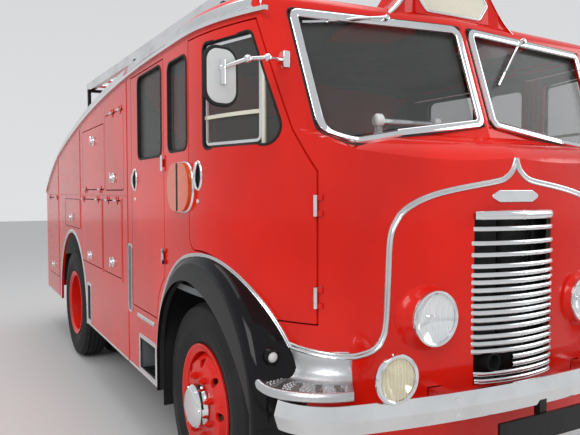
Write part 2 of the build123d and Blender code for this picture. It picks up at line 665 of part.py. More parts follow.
front_centre = (FRONT_Y, TYRE_R)
front_wheel = joined([turned_x(profile, FRONT_X, *front_centre)
                      for profile in (RIM, FRONT_DISC, FRONT_HUB, FRONT_DRUM, FRONT_FLANGE)])
front_wheel = holed(front_wheel, -FRONT_X - 130, -FRONT_X - 30, front_centre, 196, 21)
front_wheel = studded(front_wheel, FRONT_X, 112, front_centre)
front_wheel = front_wheel - rod_x(STUB_R + FIT, -1066, -FRONT_X + 40, *front_centre)

rear_centre = (REAR_Y, TYRE_R)
MEET_X = (REAR_X[0] + REAR_X[1]) / 2
rear_wheel = turned_x(RIM, REAR_X[0], *rear_centre) + turned_x(RIM, REAR_X[1], *rear_centre)
for side in (1, -1):
    disc = [(98, 247), (60, 236), (10, 200), (0, 190), (0, 60), (12, 60), (12, 186), (22, 196), (70, 226), (116, 247)]
    rear_wheel = rear_wheel + turned_x([(side * out, r) for out, r in disc], MEET_X, *rear_centre)
rear_hub = [(-MEET_X + HUB_IN, 0), (-MEET_X + HUB_IN, 100), (20, 100), (20, 88), (HUB_OUT - MEET_X - 20, 84),
            (HUB_OUT - MEET_X, 70), (HUB_OUT - MEET_X, 0)]
rear_wheel = rear_wheel + turned_x(rear_hub, MEET_X, *rear_centre)
rear_wheel = holed(rear_wheel, -MEET_X - 110, -MEET_X + 110, rear_centre, 212, 20)
rear_wheel = studded(rear_wheel, MEET_X, 12, rear_centre)
rear_wheel = rear_wheel - rod_x(REAR_STUB_R + FIT, -HUB_OUT + 54, -HUB_IN + 20, *rear_centre)


def tyre(x, y):
    h = TYRE_W / 2
    p = [(h - 41, BEAD_R), (h, 365), (h - 14, 450), (h - 34, 472), (0, TYRE_R)]
    right = [(-x - out, r, 0) for out, r in p]
    left = [(-x + out, r, 0) for out, r in p]
    face = outline(
        ThreePointArc(*right[:3]), Line(right[2], right[3]), ThreePointArc(right[3], right[4], left[3]),
        Line(left[3], left[2]), ThreePointArc(*left[2::-1]), Line(left[0], right[0]))
    return Pos(0, y, TYRE_R) * revolve(face, axis=Axis.X)


front_tyre = tyre(FRONT_X, FRONT_Y)
rear_tyres = Compound(children=[tyre(x, REAR_Y) for x in REAR_X])

# wings over the front wheels
wing = across(arch_face(CROWN), -LIP_X, -760)
rim_edges = [e for e in wing.edges() if abs(e.center().X + LIP_X) < 1 and e.center().Z > 600 and e.length > 200]
wing = fillet(rim_edges, CROWN_R)
wing = wing - front_opening - plan_solid(0, 100, 2000)
wing = wing - box(-1400, 0, -1300, 900, 0, SKIRT_Z)
wing = wing - box(-1400, 0, -1300, -780, 0, 600)

# bumper: a creased strip round the front
BUMPER_Z = (610, 720)
BUMPER_X = 1098
BUMPER_Y = (-1150, -1046, -815)   # middle, corner and side end
mid_z = (BUMPER_Z[0] + BUMPER_Z[1]) / 2


def bumper_face(out):
    """Plan of the bumper's outer line, moved outwards."""
    front = ThreePointArc((-905, BUMPER_Y[1]), (0, BUMPER_Y[0]), (905, BUMPER_Y[1]))
    corner = TangentArc((-905, BUMPER_Y[1]), (-BUMPER_X, BUMPER_Y[2]), tangent=-(front % 0))
    back = Line((-BUMPER_X, BUMPER_Y[2]), (BUMPER_X, BUMPER_Y[2]))
    face = outline(front, corner, mirror(corner, about=Plane.YZ), back)
    return offset(face, amount=out, kind=Kind.INTERSECTION)


STRIP = 55
upper_half = extrude(Pos(0, 0, mid_z) * bumper_face(0), amount=STRIP, taper=16)
upper_hole = extrude(Pos(0, 0, mid_z) * bumper_face(-9), amount=STRIP, taper=16)
strip = upper_half - upper_hole - box(-1400, 1400, BUMPER_Y[2] - 30, 0, 0, 1000)
bumper = strip + mirror(strip, about=Plane.XY.offset(mid_z))
for x in (-BRACKET_X, BRACKET_X):
    bumper = bumper + box(x - BRACKET[0], x + BRACKET[0], -1118, FRAME_Y[0], *BRACKET[1:])

# polished steps between bumper and wing
step_plan = outline(
    ThreePointArc((-1128, -700), (-1085, -890), (-870, -1030)), Line((-870, -1030), (-800, -860)),
    Line((-800, -860), (-960, -700)), Line((-960, -700), (-1128, -700)))
corner_step = extrude(Pos(0, 0, 725) * step_plan, amount=200)
slope = Plane(origin=(-1110, -900, 765), z_dir=(-0.36, -0.30, 0.88))
corner_step = split(corner_step, bisect_by=slope, keep=Keep.BOTTOM)
corner_step = (corner_step - plan_solid(0, 400, 1200) - wing).solids().sort_by(SortBy.VOLUME)[-1]

# grille of bowed bars on two posts and a bead
BAR_N = 21
BAR_H = 15
BAR_T = 9


def bow(depth, z0, z1):
    """A curved bar across the front, its outer line at the grille's face."""
    a, b = (-GRILLE_HALF, GRILLE_Y[0], z0), (GRILLE_HALF, GRILLE_Y[0], z0)
    a2, b2 = (-GRILLE_HALF, GRILLE_Y[0] + depth, z0), (GRILLE_HALF, GRILLE_Y[0] + depth, z0)
    face = outline(ThreePointArc(a, (0, GRILLE_Y[1], z0), b), Line(b, b2),
                   ThreePointArc(b2, (0, GRILLE_Y[1] + depth, z0), a2), Line(a2, a))
    return extrude(face, amount=z1 - z0, dir=(0, 0, 1))


pitch = (GRILLE_Z[1] - GRILLE_Z[0] - BAR_H) / (BAR_N - 1)
grille = bow(BAR_T, GRILLE_Z[1] - 26, GRILLE_Z[1])
for k in range(BAR_N - 1):
    z = GRILLE_Z[0] + k * pitch
    grille = grille + bow(BAR_T, z, z + BAR_H)
for x, w in ((-GRILLE_HALF + 6, 12), (0, 16), (GRILLE_HALF - 6, 12)):
    y = GRILLE_Y[0] if x else GRILLE_Y[1]
    grille = grille + box(x - w / 2, x + w / 2, y + 2, y + 30, *GRILLE_Z)
grille = grille - (outer & box(-400, 400, -1300, -800, 500, 1600) - grille_hole)

# lamps
HEAD_X, HEAD_LAMP_Z = 460, 985
HEAD_Y = -1003                # face of the rim
BOWL = [(0, 0), (0, 112), (22, 120), (40, 128), (62, 150), (62, 0)]   # depth behind the rim, radius
bowl = turned_y([(HEAD_Y + depth, r) for depth, r in BOWL], -HEAD_X, HEAD_LAMP_Z)
bowl = bowl - outer - rod_y(98, HEAD_Y - 30, HEAD_Y + 6, -HEAD_X, HEAD_LAMP_Z)
lens = rod_y(97.5, HEAD_Y - 4, HEAD_Y + 6, -HEAD_X, HEAD_LAMP_Z)
FOG = (735, -1100, 812)
FOG_BOWL = [(-10, 0), (-10, 86), (14, 86), (60, 52), (74, 0)]
fog = turned_y([(FOG[1] + depth, r) for depth, r in FOG_BOWL], -FOG[0], FOG[2])
fog = fog - rod_y(78, FOG[1] - 20, FOG[1] - 4, -FOG[0], FOG[2])
fog = fog + (rod_z(9, BUMPER_Z[1] - 14, FOG[2] - 40, -FOG[0], FOG[1] + 30) - bumper)
fog_lens = rod_y(77.5, FOG[1] - 12, FOG[1] - 4, -FOG[0], FOG[2])

# sign box, gutters, ladder, mirrors, rear fittings
sign_side = outline(Line((0, -604, 2296), (0, -588, 2474)), Line((0, -588, 2474), (0, -540, 2486)),
                    ThreePointArc((0, -540, 2486), (0, -380, 2440), (0, -230, 2300)),
                    Line((0, -230, 2300), (0, -604, 2296)))
sign_box = across(sign_side, -230, 230) - outer
gutter_band = side_solid(EAVE - 9, 1000) - side_solid(EAVE + 9, 900)
gutter = gutter_band & (plan_solid(-16, 1000, 2800) - plan_solid(0, 900, 2900))
gutter = gutter & box(-1400, 0, -640, TAIL_Y - 10, 0, 2800)

LADDER_X = (-880, -500)
LADDER_Y = (-150, 3200)
LADDER_Z = 2440
ladder = joined([box(x - 20, x + 20, *LADDER_Y, LADDER_Z - 35, LADDER_Z + 35) for x in LADDER_X])
for k in range(11):
    ladder = ladder + rod_x(15, *LADDER_X, LADDER_Y[0] + 175 + 300 * k, LADDER_Z)


def roof_z(y):
    """Rough height of the roof at a station, inside the skin."""
    for (y0, d0), (y1, d1) in zip(ROOF, ROOF[1:]):
        if y <= y1:
            return GUTTER_Z + EAVE - 12 - d0 - (d1 - d0) * (y - y0) / (y1 - y0)


rack = None
for y in (10, 1550, 3050):
    for x in (LADDER_X[0] - 30, LADDER_X[1] + 30):
        post = box(x - 14, x + 14, y - 14, y + 14, roof_z(y) - 40, LADDER_Z - 36)
        rack = post if rack is None else rack + post
    rack = rack + box(LADDER_X[0] - 44, LADDER_X[1] + 44, y - 18, y + 18, LADDER_Z - 60, LADDER_Z - 35)
rack = rack - outer

mirror_head = Pos(-1278, -800, 1888) * Rot(0, 0, 12) * Box(146, 22, 222)
ARM = [(-950, -660, 2000), (-1090, -800, 1990), (-1180, -815, 1975), (-1278, -790, 1930)]
mirror_arm = joined([rod(a, b, 9) for a, b in zip(ARM, ARM[1:])] + [Pos(*p) * Sphere(9) for p in ARM[1:3]])
mirror_plate = box(-975, -925, -690, -655, 1965, 2035)
mirrors = both(mirror_head + mirror_arm + mirror_plate - outer)

rear_step = box(-900, 900, TAIL_Y, TAIL_Y + 230, 424, 464)
lamp_y = (TAIL_Y, TAIL_Y + 36)
rear_lamps = [rod_y(48, *lamp_y, side * 900, z) for side in (-1, 1) for z in (700, 830)]
indicator = window_face(-130, 170, 1390, 1620, 100)
indicator_solid = across(indicator, -1200, -1000) & (plan_solid(-26, 1300, 1700) - plan_solid(0, 1200, 1800))
side_lamps = Compound(children=rear_lamps + [indicator_solid, near_side(indicator_solid)])
front_plate = box(-260, 260, -1150, -1138, 470, 575) + box(-20, 20, -1140, -1110, 560, 640) - bumper
plates = Compound(children=[front_plate, box(250, 610, TAIL_Y, TAIL_Y + 8, 480, 590)])

# inside of the cab
dash = (box(-960, 960, -1100, -690, 1420, 1600) & inside) - side_room - near_side(side_room)
dash = dash - (pane_hole + near_side(pane_hole))
WHEEL_AT = (-640, -470, 1600)
tilt = Pos(*WHEEL_AT) * Rot(-32, 0, 0)
steering_wheel = tilt * (Torus(225, 14) + Cylinder(45, 30) + Box(440, 24, 12) + Box(24, 440, 12))
steering_wheel = steering_wheel + tilt * Pos(0, 0, -350) * Cylinder(24, 700)
steering_wheel = steering_wheel - box(-1000, 0, -1300, 600, 0, FLOOR_Z + FLOOR_T)
seat = box(-900, -400, -250, 210, FLOOR_Z + FLOOR_T, 1330) + box(-920, -380, -270, 190, 1330, 1450) \
    + Pos(-650, 200, 1670) * Rot(-8, 0, 0) * Box(520, 90, 460)
BENCH = [
    # front y, bottom z, top z
    (700, CREW_FLOOR_Z + FLOOR_T, 1180),
    (680, 1180, 1290),
    (960, 1290, 1720),
]
bench = joined([box(-980, 980, y, JOINT_Y - SKIN, z0, z1) for y, z0, z1 in BENCH])
seats = Compound(children=[seat, near_side(seat), bench])
tank = box(-BAY_X + 20, BAY_X - 20, 1250, 3500, LOCKER_FLOOR_Z + PLATE, 1850)

quarter_glass = glass_slab & across(quarter, *REACH)

FRONT_END = BUMPER_Y[0]
REAR_END = TAIL_Y + 230
MID_Y = (FRONT_END + REAR_END) / 2

save(cab_shell, "cab_shell")
save(rear_body, "rear_body")
save(cab_floor, "cab_floor")
save(body_floor, "body_floor")
save(Compound(children=frame), "chassis_frame")
save(axles, "axles_and_shaft")
save(Compound(children=springs + [near_side(s) for s in springs]), "leaf_springs")
save(Compound(children=engine), "engine")
save(radiator, "radiator")
save(tank, "water_tank")
save(both(wing), "front_wings")
save(bumper, "front_bumper")
save(both(corner_step), "corner_steps")
save(grille, "grille")
save(Compound(children=[bowl, near_side(bowl), fog, near_side(fog)]), "front_lamps")
save(Compound(children=[lens, near_side(lens), fog_lens, near_side(fog_lens)]), "lamp_lenses")
save(sign_box, "sign_box")
save(both(gutter), "gutters")
save(ladder, "roof_ladder")
save(rack, "ladder_rack")
save(mirrors, "mirrors")
save(rear_step, "rear_step")
save(side_lamps, "side_lamps")
save(plates, "number_plates")
save(dash, "dashboard")
save(steering_wheel, "steering_wheel")
save(seats, "seats")
save(both(screen_frame), "windscreen_frames")
glass = [screen_glass, quarter_glass]
save(Compound(children=glass + [near_side(pane) for pane in glass]), "cab_glass")
save(rear_lid, "rear_lid")
for side in ("r", "l"):
    parts = {"cab_door": cab_door, "crew_door": crew_door, "cab_door_glass": cab_glass_off,
             "crew_door_glass": crew_glass_off, "knuckle": knuckle, "front_wheel": front_wheel,
             "front_tyre": front_tyre, "rear_wheels": rear_wheel, "rear_tyres": rear_tyres}
    for row, lid in zip(LOCKERS, lids):
        parts[f"locker_{row[0]}"] = lid
    for name, shape in parts.items():
        save(shape if side == "r" else near_side(shape), f"{name}_{side}")
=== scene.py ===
import json
from math import atan2, cos, pi, radians, sin, sqrt

import bmesh
import bpy
from bpy.props import FloatProperty, FloatVectorProperty, IntProperty, PointerProperty
from mathutils import Matrix, Vector
from mathutils.bvhtree import BVHTree


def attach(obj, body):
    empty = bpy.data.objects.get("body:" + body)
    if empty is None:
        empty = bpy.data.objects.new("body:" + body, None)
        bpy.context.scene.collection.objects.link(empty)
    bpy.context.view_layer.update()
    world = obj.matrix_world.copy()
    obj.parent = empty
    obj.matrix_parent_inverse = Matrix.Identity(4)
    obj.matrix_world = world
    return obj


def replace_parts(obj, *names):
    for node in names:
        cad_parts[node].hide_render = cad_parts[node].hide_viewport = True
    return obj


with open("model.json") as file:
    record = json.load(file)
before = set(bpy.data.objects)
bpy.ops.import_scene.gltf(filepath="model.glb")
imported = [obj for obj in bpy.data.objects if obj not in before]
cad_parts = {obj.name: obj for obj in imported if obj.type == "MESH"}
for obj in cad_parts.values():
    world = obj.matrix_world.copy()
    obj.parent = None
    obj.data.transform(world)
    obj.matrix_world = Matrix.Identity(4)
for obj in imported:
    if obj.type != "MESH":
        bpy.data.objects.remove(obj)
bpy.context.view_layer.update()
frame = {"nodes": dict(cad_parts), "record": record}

bl_info = {
    "name": "Full-front fire engine",
    "version": (1, 0, 0),
    "blender": (4, 5, 0),
    "location": "View3D > Sidebar > Fire engine",
    "description": "Dresses the packed fire engine with its trim, glass, lamps, tyres and finishes",
    "category": "Object",
}

NODES = frame["nodes"]
SIDES = (("r", -1), ("l", 1))       # off side, near side

# plan of the body's flank in metres, as in the part's source; y is measured from the datum
DATUM = 1.9
BODY_HALF, FLANK_Y = 1.131, -0.03
TAPER = atan2(0.095, 4.75)
FLANK_D = (0.271, 0.865)
FLANK_R = (FLANK_D[0] ** 2 + FLANK_D[1] ** 2) / (2 * (FLANK_D[0] * cos(TAPER) + FLANK_D[1] * sin(TAPER)))
FLANK_C = (BODY_HALF - FLANK_R * cos(TAPER), FLANK_Y - FLANK_R * sin(TAPER))

FRONT_AXLE = (-0.09, 0.48)          # y, z
REAR_AXLE = (3.10, 0.48)
FRONT_X, REAR_X = 0.972, (0.948, 0.684)
TYRE_R, TYRE_W, BEAD_R = 0.480, 0.226, 0.258

DOORS = [f"{door}_{letter}" for door in ("cab_door", "crew_door") for letter, _ in SIDES]
# step openings in the skirt: front y, rear y, bottom z, top z
SKIRT_STEPS = ((0.480, 0.810, 0.440, 0.640), (2.270, 2.400, 0.450, 0.745))


class EngineSizes(bpy.types.PropertyGroup):
    moulding_width: FloatProperty(
        name="Moulding width", description="Width of the bright waist moulding", default=0.027, unit="LENGTH")
    trim_width: FloatProperty(
        name="Trim width", description="Width of the front arches' bead", default=0.018, unit="LENGTH")
    rubber_width: FloatProperty(
        name="Rubber width", description="Width of a side window's rubber", default=0.011, unit="LENGTH")
    handle_height: FloatProperty(
        name="Handle height", description="Height of a door handle's oval rim", default=0.125, unit="LENGTH")
    screw_radius: FloatProperty(
        name="Screw radius", description="Radius of a trim screw's head", default=0.0042, unit="LENGTH")
    tread_depth: FloatProperty(
        name="Tread depth", description="Depth of the grooves in a tyre", default=0.010, unit="LENGTH")
    tread_blocks: IntProperty(
        name="Tread blocks", description="Blocks round each shoulder of a tyre", default=64, min=24, max=120)


class EngineColours(bpy.types.PropertyGroup):
    red: FloatVectorProperty(
        name="Red", description="Body paint", subtype="COLOR", default=(0.76, 0.012, 0.004), min=0, max=1)
    black: FloatVectorProperty(
        name="Black", description="Wing paint", subtype="COLOR", default=(0.008, 0.008, 0.009), min=0, max=1)
    cream: FloatVectorProperty(
        name="Cream", description="Sign face and window bars", subtype="COLOR",
        default=(0.78, 0.74, 0.60), min=0, max=1)
    amber: FloatVectorProperty(
        name="Amber", description="Flashing indicators", subtype="COLOR",
        default=(0.80, 0.10, 0.012), min=0, max=1)
    seat: FloatVectorProperty(
        name="Seat", description="Hide of the seats", subtype="COLOR",
        default=(0.10, 0.018, 0.012), min=0, max=1)
    gloss: FloatProperty(
        name="Paint roughness", description="Roughness of the body paint", subtype="FACTOR",
        default=0.16, min=0, max=1)


class StudioSettings(bpy.types.PropertyGroup):
    floor: FloatVectorProperty(
        name="Floor", description="Colour of the floor", subtype="COLOR",
        default=(0.66, 0.66, 0.65), min=0, max=1)
    horizon: FloatVectorProperty(
        name="Horizon", description="Backdrop at eye level", subtype="COLOR",
        default=(0.66, 0.67, 0.68), min=0, max=1)
    zenith: FloatVectorProperty(
        name="Zenith", description="Backdrop overhead", subtype="COLOR",
        default=(0.56, 0.57, 0.59), min=0, max=1)
    world: FloatProperty(
        name="World", description="Strength of the plain surrounding light", default=1.12, min=0)
    key: FloatProperty(
        name="Key lamp", description="Power of the large lamp ahead of the engine", subtype="POWER",
        default=270, min=0)
    lens: FloatProperty(
        name="Lens", description="Focal length of the camera", default=39.517, unit="CAMERA")


def at(x, y, z):
    """A point given by its distance from the datum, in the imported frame."""
    return Vector((x, y - DATUM, z))


def half_width(y, proud=0.0):
    """Half the body's width at a station, measured a little proud of its skin."""
    if y < FLANK_Y:
        return FLANK_C[0] + sqrt((FLANK_R + proud) ** 2 - (y - FLANK_C[1]) ** 2)
    return BODY_HALF - (y - FLANK_Y) * sin(TAPER) / cos(TAPER) + proud / cos(TAPER)


def flank_point(y, z, side, proud=0.0):
    """A point on the flank of one side, or a little proud of it."""
    return at(side * half_width(y, proud), y, z)


def flank_out(y, side):
    """Outward direction of the flank at a station."""
    turn = atan2(y - FLANK_C[1], half_width(y) - FLANK_C[0]) if y < FLANK_Y else TAPER
    return Vector((side * cos(turn), sin(turn), 0))


# materials
def noise(tree, scale, detail, place, stretch=None):
    """Value of a noise over the object, stretched if asked."""
    texture = tree.nodes.new("ShaderNodeTexNoise")
    texture.inputs["Scale"].default_value = scale
    texture.inputs["Detail"].default_value = detail
    if stretch:
        mapping = tree.nodes.new("ShaderNodeMapping")
        mapping.inputs["Scale"].default_value = stretch
        tree.links.new(place, mapping.inputs["Vector"])
        place = mapping.outputs["Vector"]
    tree.links.new(place, texture.inputs["Vector"])
    return texture.outputs["Fac"]


def ranged(tree, value, low, high, out_low, out_high):
    """A value mapped from one range to another."""
    node = tree.nodes.new("ShaderNodeMapRange")
    for name, number in zip(("From Min", "From Max", "To Min", "To Max"), (low, high, out_low, out_high)):
        node.inputs[name].default_value = number
    tree.links.new(value, node.inputs["Value"])
    return node.outputs["Result"]


def mixed(tree, share, first, second):
    """Colour between two, each an RGB triple or a socket."""
    node = tree.nodes.new("ShaderNodeMix")
    node.data_type = "RGBA"
    tree.links.new(share, node.inputs["Factor"])
    for socket, colour in ((node.inputs[6], first), (node.inputs[7], second)):
        if isinstance(colour, bpy.types.NodeSocket):
            tree.links.new(colour, socket)
        else:
            socket.default_value = (*colour, 1)
    return node.outputs[2]


def bumped(tree, shader, height, strength, distance, before=None):
    """A bump on the shader, over an earlier one if given."""
    bump = tree.nodes.new("ShaderNodeBump")
    bump.inputs["Strength"].default_value = strength
    bump.inputs["Distance"].default_value = distance
    tree.links.new(height, bump.inputs["Height"])
    if before:
        tree.links.new(before, bump.inputs["Normal"])
    tree.links.new(bump.outputs["Normal"], shader.inputs["Normal"])
    return bump.outputs["Normal"]


def blank_material(name):
    """A new material, its tree, its shader and its object coordinates."""
    material = bpy.data.materials.new(name)
    material.use_nodes = True
    tree = material.node_tree
    shader = tree.nodes["Principled BSDF"]
    place = tree.nodes.new("ShaderNodeTexCoord").outputs["Object"]
    return material, tree, shader, place


def coated_paint(name, colour, roughness, grime=0.5, coat=0.20, gloss=0.22):
    """Old hand-finished gloss: slow unevenness, orange peel, road film low down."""
    material, tree, shader, place = blank_material(name)
    shade = tuple(c * 0.80 for c in colour)
    slow = noise(tree, 1.7, 3, place)
    base = mixed(tree, ranged(tree, slow, 0.35, 0.65, 0, 1), colour, shade)
    height = tree.nodes.new("ShaderNodeSeparateXYZ")
    tree.links.new(place, height.inputs[0])
    low = ranged(tree, height.outputs["Z"], 0.40, 0.95, grime, 0)
    streak = noise(tree, 9, 6, place, (1, 1, 0.25))
    film = tree.nodes.new("ShaderNodeMath")
    film.operation = "MULTIPLY"
    film.use_clamp = True
    tree.links.new(low, film.inputs[0])
    tree.links.new(ranged(tree, streak, 0.40, 0.75, 0, 1), film.inputs[1])
    dusty = tuple(0.6 * c + 0.03 for c in colour)
    tree.links.new(mixed(tree, film.outputs[0], base, dusty), shader.inputs["Base Color"])
    wear = noise(tree, 24, 8, place)
    tree.links.new(ranged(tree, wear, 0.3, 0.8, roughness * 0.8, roughness * 1.7), shader.inputs["Roughness"])
    shader.inputs["Specular IOR Level"].default_value = gloss
    shader.inputs["Coat Weight"].default_value = coat
    shader.inputs["Coat Roughness"].default_value = 0.04
    first = bumped(tree, shader, slow, 0.15, 0.005)
    bumped(tree, shader, noise(tree, 22, 1, place), 0.05, 0.0012, first)
    return material


def bright_metal(name, colour, roughness, haze, bumps=(40, 0.05, 0.001), stretch=None):
    """Plated or polished metal with hazy patches and small waves; bumps are its scale, strength and depth."""
    material, tree, shader, place = blank_material(name)
    cloud = noise(tree, 6, 6, place, stretch)
    dull = tuple(c * 0.72 for c in colour)
    colour_out = mixed(tree, ranged(tree, cloud, 0.45, 0.8, 0, haze), colour, dull)
    rough_out = ranged(tree, cloud, 0.3, 0.8, roughness, roughness + 0.25 * haze)
    tree.links.new(colour_out, shader.inputs["Base Color"])
    tree.links.new(rough_out, shader.inputs["Roughness"])
    shader.inputs["Metallic"].default_value = 1
    bumped(tree, shader, noise(tree, bumps[0], 4, place, stretch), bumps[1], bumps[2])
    return material


def dull_surface(name, colour, roughness, grain, depth, dust=0.3, metallic=0.0):
    """Cast iron, rubber, moulded plastic or primer, by its grain and dust."""
    material, tree, shader, place = blank_material(name)
    slow = noise(tree, 5, 6, place)
    pale = tuple(min(1, c * 1.6 + 0.02) for c in colour)
    colour_out = mixed(tree, ranged(tree, slow, 0.45, 0.8, 0, dust), colour, pale)
    rough_out = ranged(tree, slow, 0.3, 0.8, roughness, min(1, roughness + 0.15))
    tree.links.new(colour_out, shader.inputs["Base Color"])
    tree.links.new(rough_out, shader.inputs["Roughness"])
    shader.inputs["Metallic"].default_value = metallic
    shader.inputs["Specular IOR Level"].default_value = 0.25
    bumped(tree, shader, noise(tree, grain, 6, place), 0.35, depth)
    return material


def clear_glass(name, tint, roughness=0.02, alpha=0.16):
    """Thin glazing: mostly clear, with smears that catch the light."""
    material, tree, shader, place = blank_material(name)
    shader.inputs["Base Color"].default_value = (*tint, 1)
    shader.inputs["IOR"].default_value = 1.5
    smear = noise(tree, 3, 5, place, (1, 1, 0.4))
    tree.links.new(ranged(tree, smear, 0.35, 0.75, roughness, roughness + 0.10), shader.inputs["Roughness"])
    tree.links.new(ranged(tree, smear, 0.35, 0.80, alpha, alpha + 0.08), shader.inputs["Alpha"])
    return material


def fluted_glass(name, tint, pitch, alpha):
    """Pressed lamp glass with upright flutes."""
    material, tree, shader, place = blank_material(name)
    shader.inputs["Base Color"].default_value = (*tint, 1)
    shader.inputs["IOR"].default_value = 1.5
    shader.inputs["Roughness"].default_value = 0.06
    wave = tree.nodes.new("ShaderNodeTexWave")
    wave.bands_direction = "X"
    wave.inputs["Scale"].default_value = 1 / pitch / 3.1416
    tree.links.new(place, wave.inputs["Vector"])
    bumped(tree, shader, wave.outputs["Fac"], 0.9, 0.002)
    tree.links.new(ranged(tree, wave.outputs["Fac"], 0, 1, alpha, alpha + 0.15), shader.inputs["Alpha"])
    return material


def leather(name, colour):
    """Worn hide with a fine pebbled grain."""
    material, tree, shader, place = blank_material(name)
    grain = tree.nodes.new("ShaderNodeTexVoronoi")
    grain.inputs["Scale"].default_value = 260
    tree.links.new(place, grain.inputs["Vector"])
    slow = noise(tree, 7, 5, place)
    worn = tuple(min(1, c * 1.9 + 0.02) for c in colour)
    colour_out = mixed(tree, ranged(tree, slow, 0.45, 0.8, 0, 0.6), colour, worn)
    tree.links.new(colour_out, shader.inputs["Base Color"])
    tree.links.new(ranged(tree, slow, 0.3, 0.8, 0.42, 0.62), shader.inputs["Roughness"])
    bumped(tree, shader, grain.outputs["Distance"], 0.3, 0.001)
    return material


def tread_plate(name, colour):
    """Aluminium with a raised lozenge pattern."""
    material, tree, shader, place = blank_material(name)
    heights = []
    for turn in (radians(45), radians(-45)):
        mapping = tree.nodes.new("ShaderNodeMapping")
        mapping.inputs["Rotation"].default_value = (0, 0, turn)
        tree.links.new(place, mapping.inputs["Vector"])
        wave = tree.nodes.new("ShaderNodeTexWave")
        wave.inputs["Scale"].default_value = 11
        tree.links.new(mapping.outputs["Vector"], wave.inputs["Vector"])
        heights.append(wave.outputs["Fac"])
    product = tree.nodes.new("ShaderNodeMath")
    product.operation = "MULTIPLY"
    tree.links.new(heights[0], product.inputs[0])
    tree.links.new(heights[1], product.inputs[1])
    raised = ranged(tree, product.outputs[0], 0.45, 0.6, 0, 1)
    tree.links.new(mixed(tree, raised, tuple(c * 0.55 for c in colour), colour), shader.inputs["Base Color"])
    tree.links.new(ranged(tree, noise(tree, 30, 5, place), 0.3, 0.7, 0.28, 0.5), shader.inputs["Roughness"])
    shader.inputs["Metallic"].default_value = 1
    bumped(tree, shader, raised, 0.8, 0.003)
    return material


def lit_colour(name, colour, roughness):
    """Coloured lamp plastic, a little see-through at its skin."""
    material, tree, shader, place = blank_material(name)
    slow = noise(tree, 30, 3, place)
    tree.links.new(mixed(tree, slow, colour, tuple(c * 0.7 for c in colour)), shader.inputs["Base Color"])
    shader.inputs["Roughness"].default_value = roughness
    shader.inputs["Subsurface Weight"].default_value = 0.25
    shader.inputs["Subsurface Radius"].default_value = (0.02, 0.008, 0.004)
    shader.inputs["Subsurface Scale"].default_value = 0.5
    shader.inputs["Coat Weight"].default_value = 0.5
    bumped(tree, shader, noise(tree, 200, 2, place), 0.05, 0.001)
    return material


FINISHES = {}


def make_finishes(colours):
    """All finishes, by the names of their slots."""
    red, black, cream = tuple(colours.red), tuple(colours.black), tuple(colours.cream)
    FINISHES.update({
        "red_paint": coated_paint("red body paint", red, colours.gloss),
        "wheel_red": coated_paint("red wheel paint", red, 0.30, 0.8),
        "black_paint": coated_paint("black wing paint", black, 0.10, 0.1, 0.12, 0.12),
        "plate_black": coated_paint("plate enamel, black", (0.008, 0.008, 0.009), 0.2, 0.1, 0.1),
        "lining": coated_paint("cab lining", (0.20, 0.175, 0.14), 0.6, 0.1, 0.0),
        "under_paint": coated_paint("underseal", (0.020, 0.020, 0.020), 0.6, 0.9, 0.0),
        "chassis_black": coated_paint("chassis paint", (0.016, 0.016, 0.017), 0.45, 0.9, 0.1),
        "grey_paint": coated_paint("grey inside paint", (0.16, 0.165, 0.17), 0.45, 0.6, 0.1),
        "cream_paint": coated_paint("cream paint", cream, 0.25, 0.2),
        "plate_white": coated_paint("plate enamel", (0.70, 0.70, 0.67), 0.3, 0.4),
        "mirror_back": coated_paint("mirror enamel", (0.62, 0.63, 0.62), 0.35, 0.2),
        "chrome": bright_metal("chromium plate", (0.80, 0.81, 0.82), 0.05, 0.5),
        "bright_aluminium": bright_metal("polished aluminium", (0.75, 0.76, 0.77), 0.16, 0.9,
                                         (90, 0.12, 0.001)),
        "tank_steel": bright_metal("galvanised steel", (0.42, 0.44, 0.45), 0.40, 1.0, (30, 0.1, 0.002)),
        "spring_steel": dull_surface("spring steel", (0.045, 0.042, 0.04), 0.5, 120, 0.002, 0.4, 0.6),
        "engine_grey": dull_surface("cast engine", (0.10, 0.115, 0.11), 0.55, 90, 0.002, 0.4),
        "black_plastic": dull_surface("black board", (0.018, 0.018, 0.018), 0.45, 260, 0.0006, 0.2),
        "tyre_rubber": dull_surface("tyre rubber", (0.014, 0.0138, 0.0135), 0.62, 160, 0.0012, 0.5),
        "window_rubber": dull_surface("window rubber", (0.012, 0.012, 0.012), 0.5, 200, 0.0005, 0.2),
        # near-black finish: a dark joint on the panel gap, and painted shadow on the door handles'
        # finger-hole discs
        "shadow": dull_surface("dark gap and painted shadow", (0.006, 0.005, 0.005), 0.8, 60, 0.0005, 0.1),
        "clear_glass": clear_glass("window glass", (0.12, 0.13, 0.125), 0.01, 0.24),
        "lens_glass": fluted_glass("headlamp glass", (0.93, 0.95, 0.96), 0.016, 0.10),
        "fog_glass": fluted_glass("fog lamp glass", (0.90, 0.80, 0.52), 0.016, 0.28),
        "lamp_plastic": lit_colour("amber lamp glass", tuple(colours.amber), 0.18),
        "red_lens": lit_colour("red lamp glass", (0.55, 0.008, 0.006), 0.15),
        "seat_leather": leather("seat hide", tuple(colours.seat)),
        "cast_aluminium": bright_metal("cast aluminium", (0.62, 0.63, 0.64), 0.22, 0.9, (70, 0.35, 0.002)),
        "grip_strip": dull_surface("grip strip", (0.13, 0.125, 0.12), 0.7, 500, 0.001, 0.3),
        "tread_plate": tread_plate("tread plate", (0.62, 0.63, 0.64)),
        "reflector": bright_metal("lamp reflector", (0.90, 0.91, 0.92), 0.08, 0.2),
        "white_sleeve": coated_paint("white enamel", (0.75, 0.75, 0.74), 0.3, 0.1),
    })


# making meshes
BOX_FACES = [(3, 2, 1, 0), (4, 5, 6, 7), (0, 1, 5, 4), (1, 2, 6, 5), (2, 3, 7, 6), (3, 0, 4, 7)]


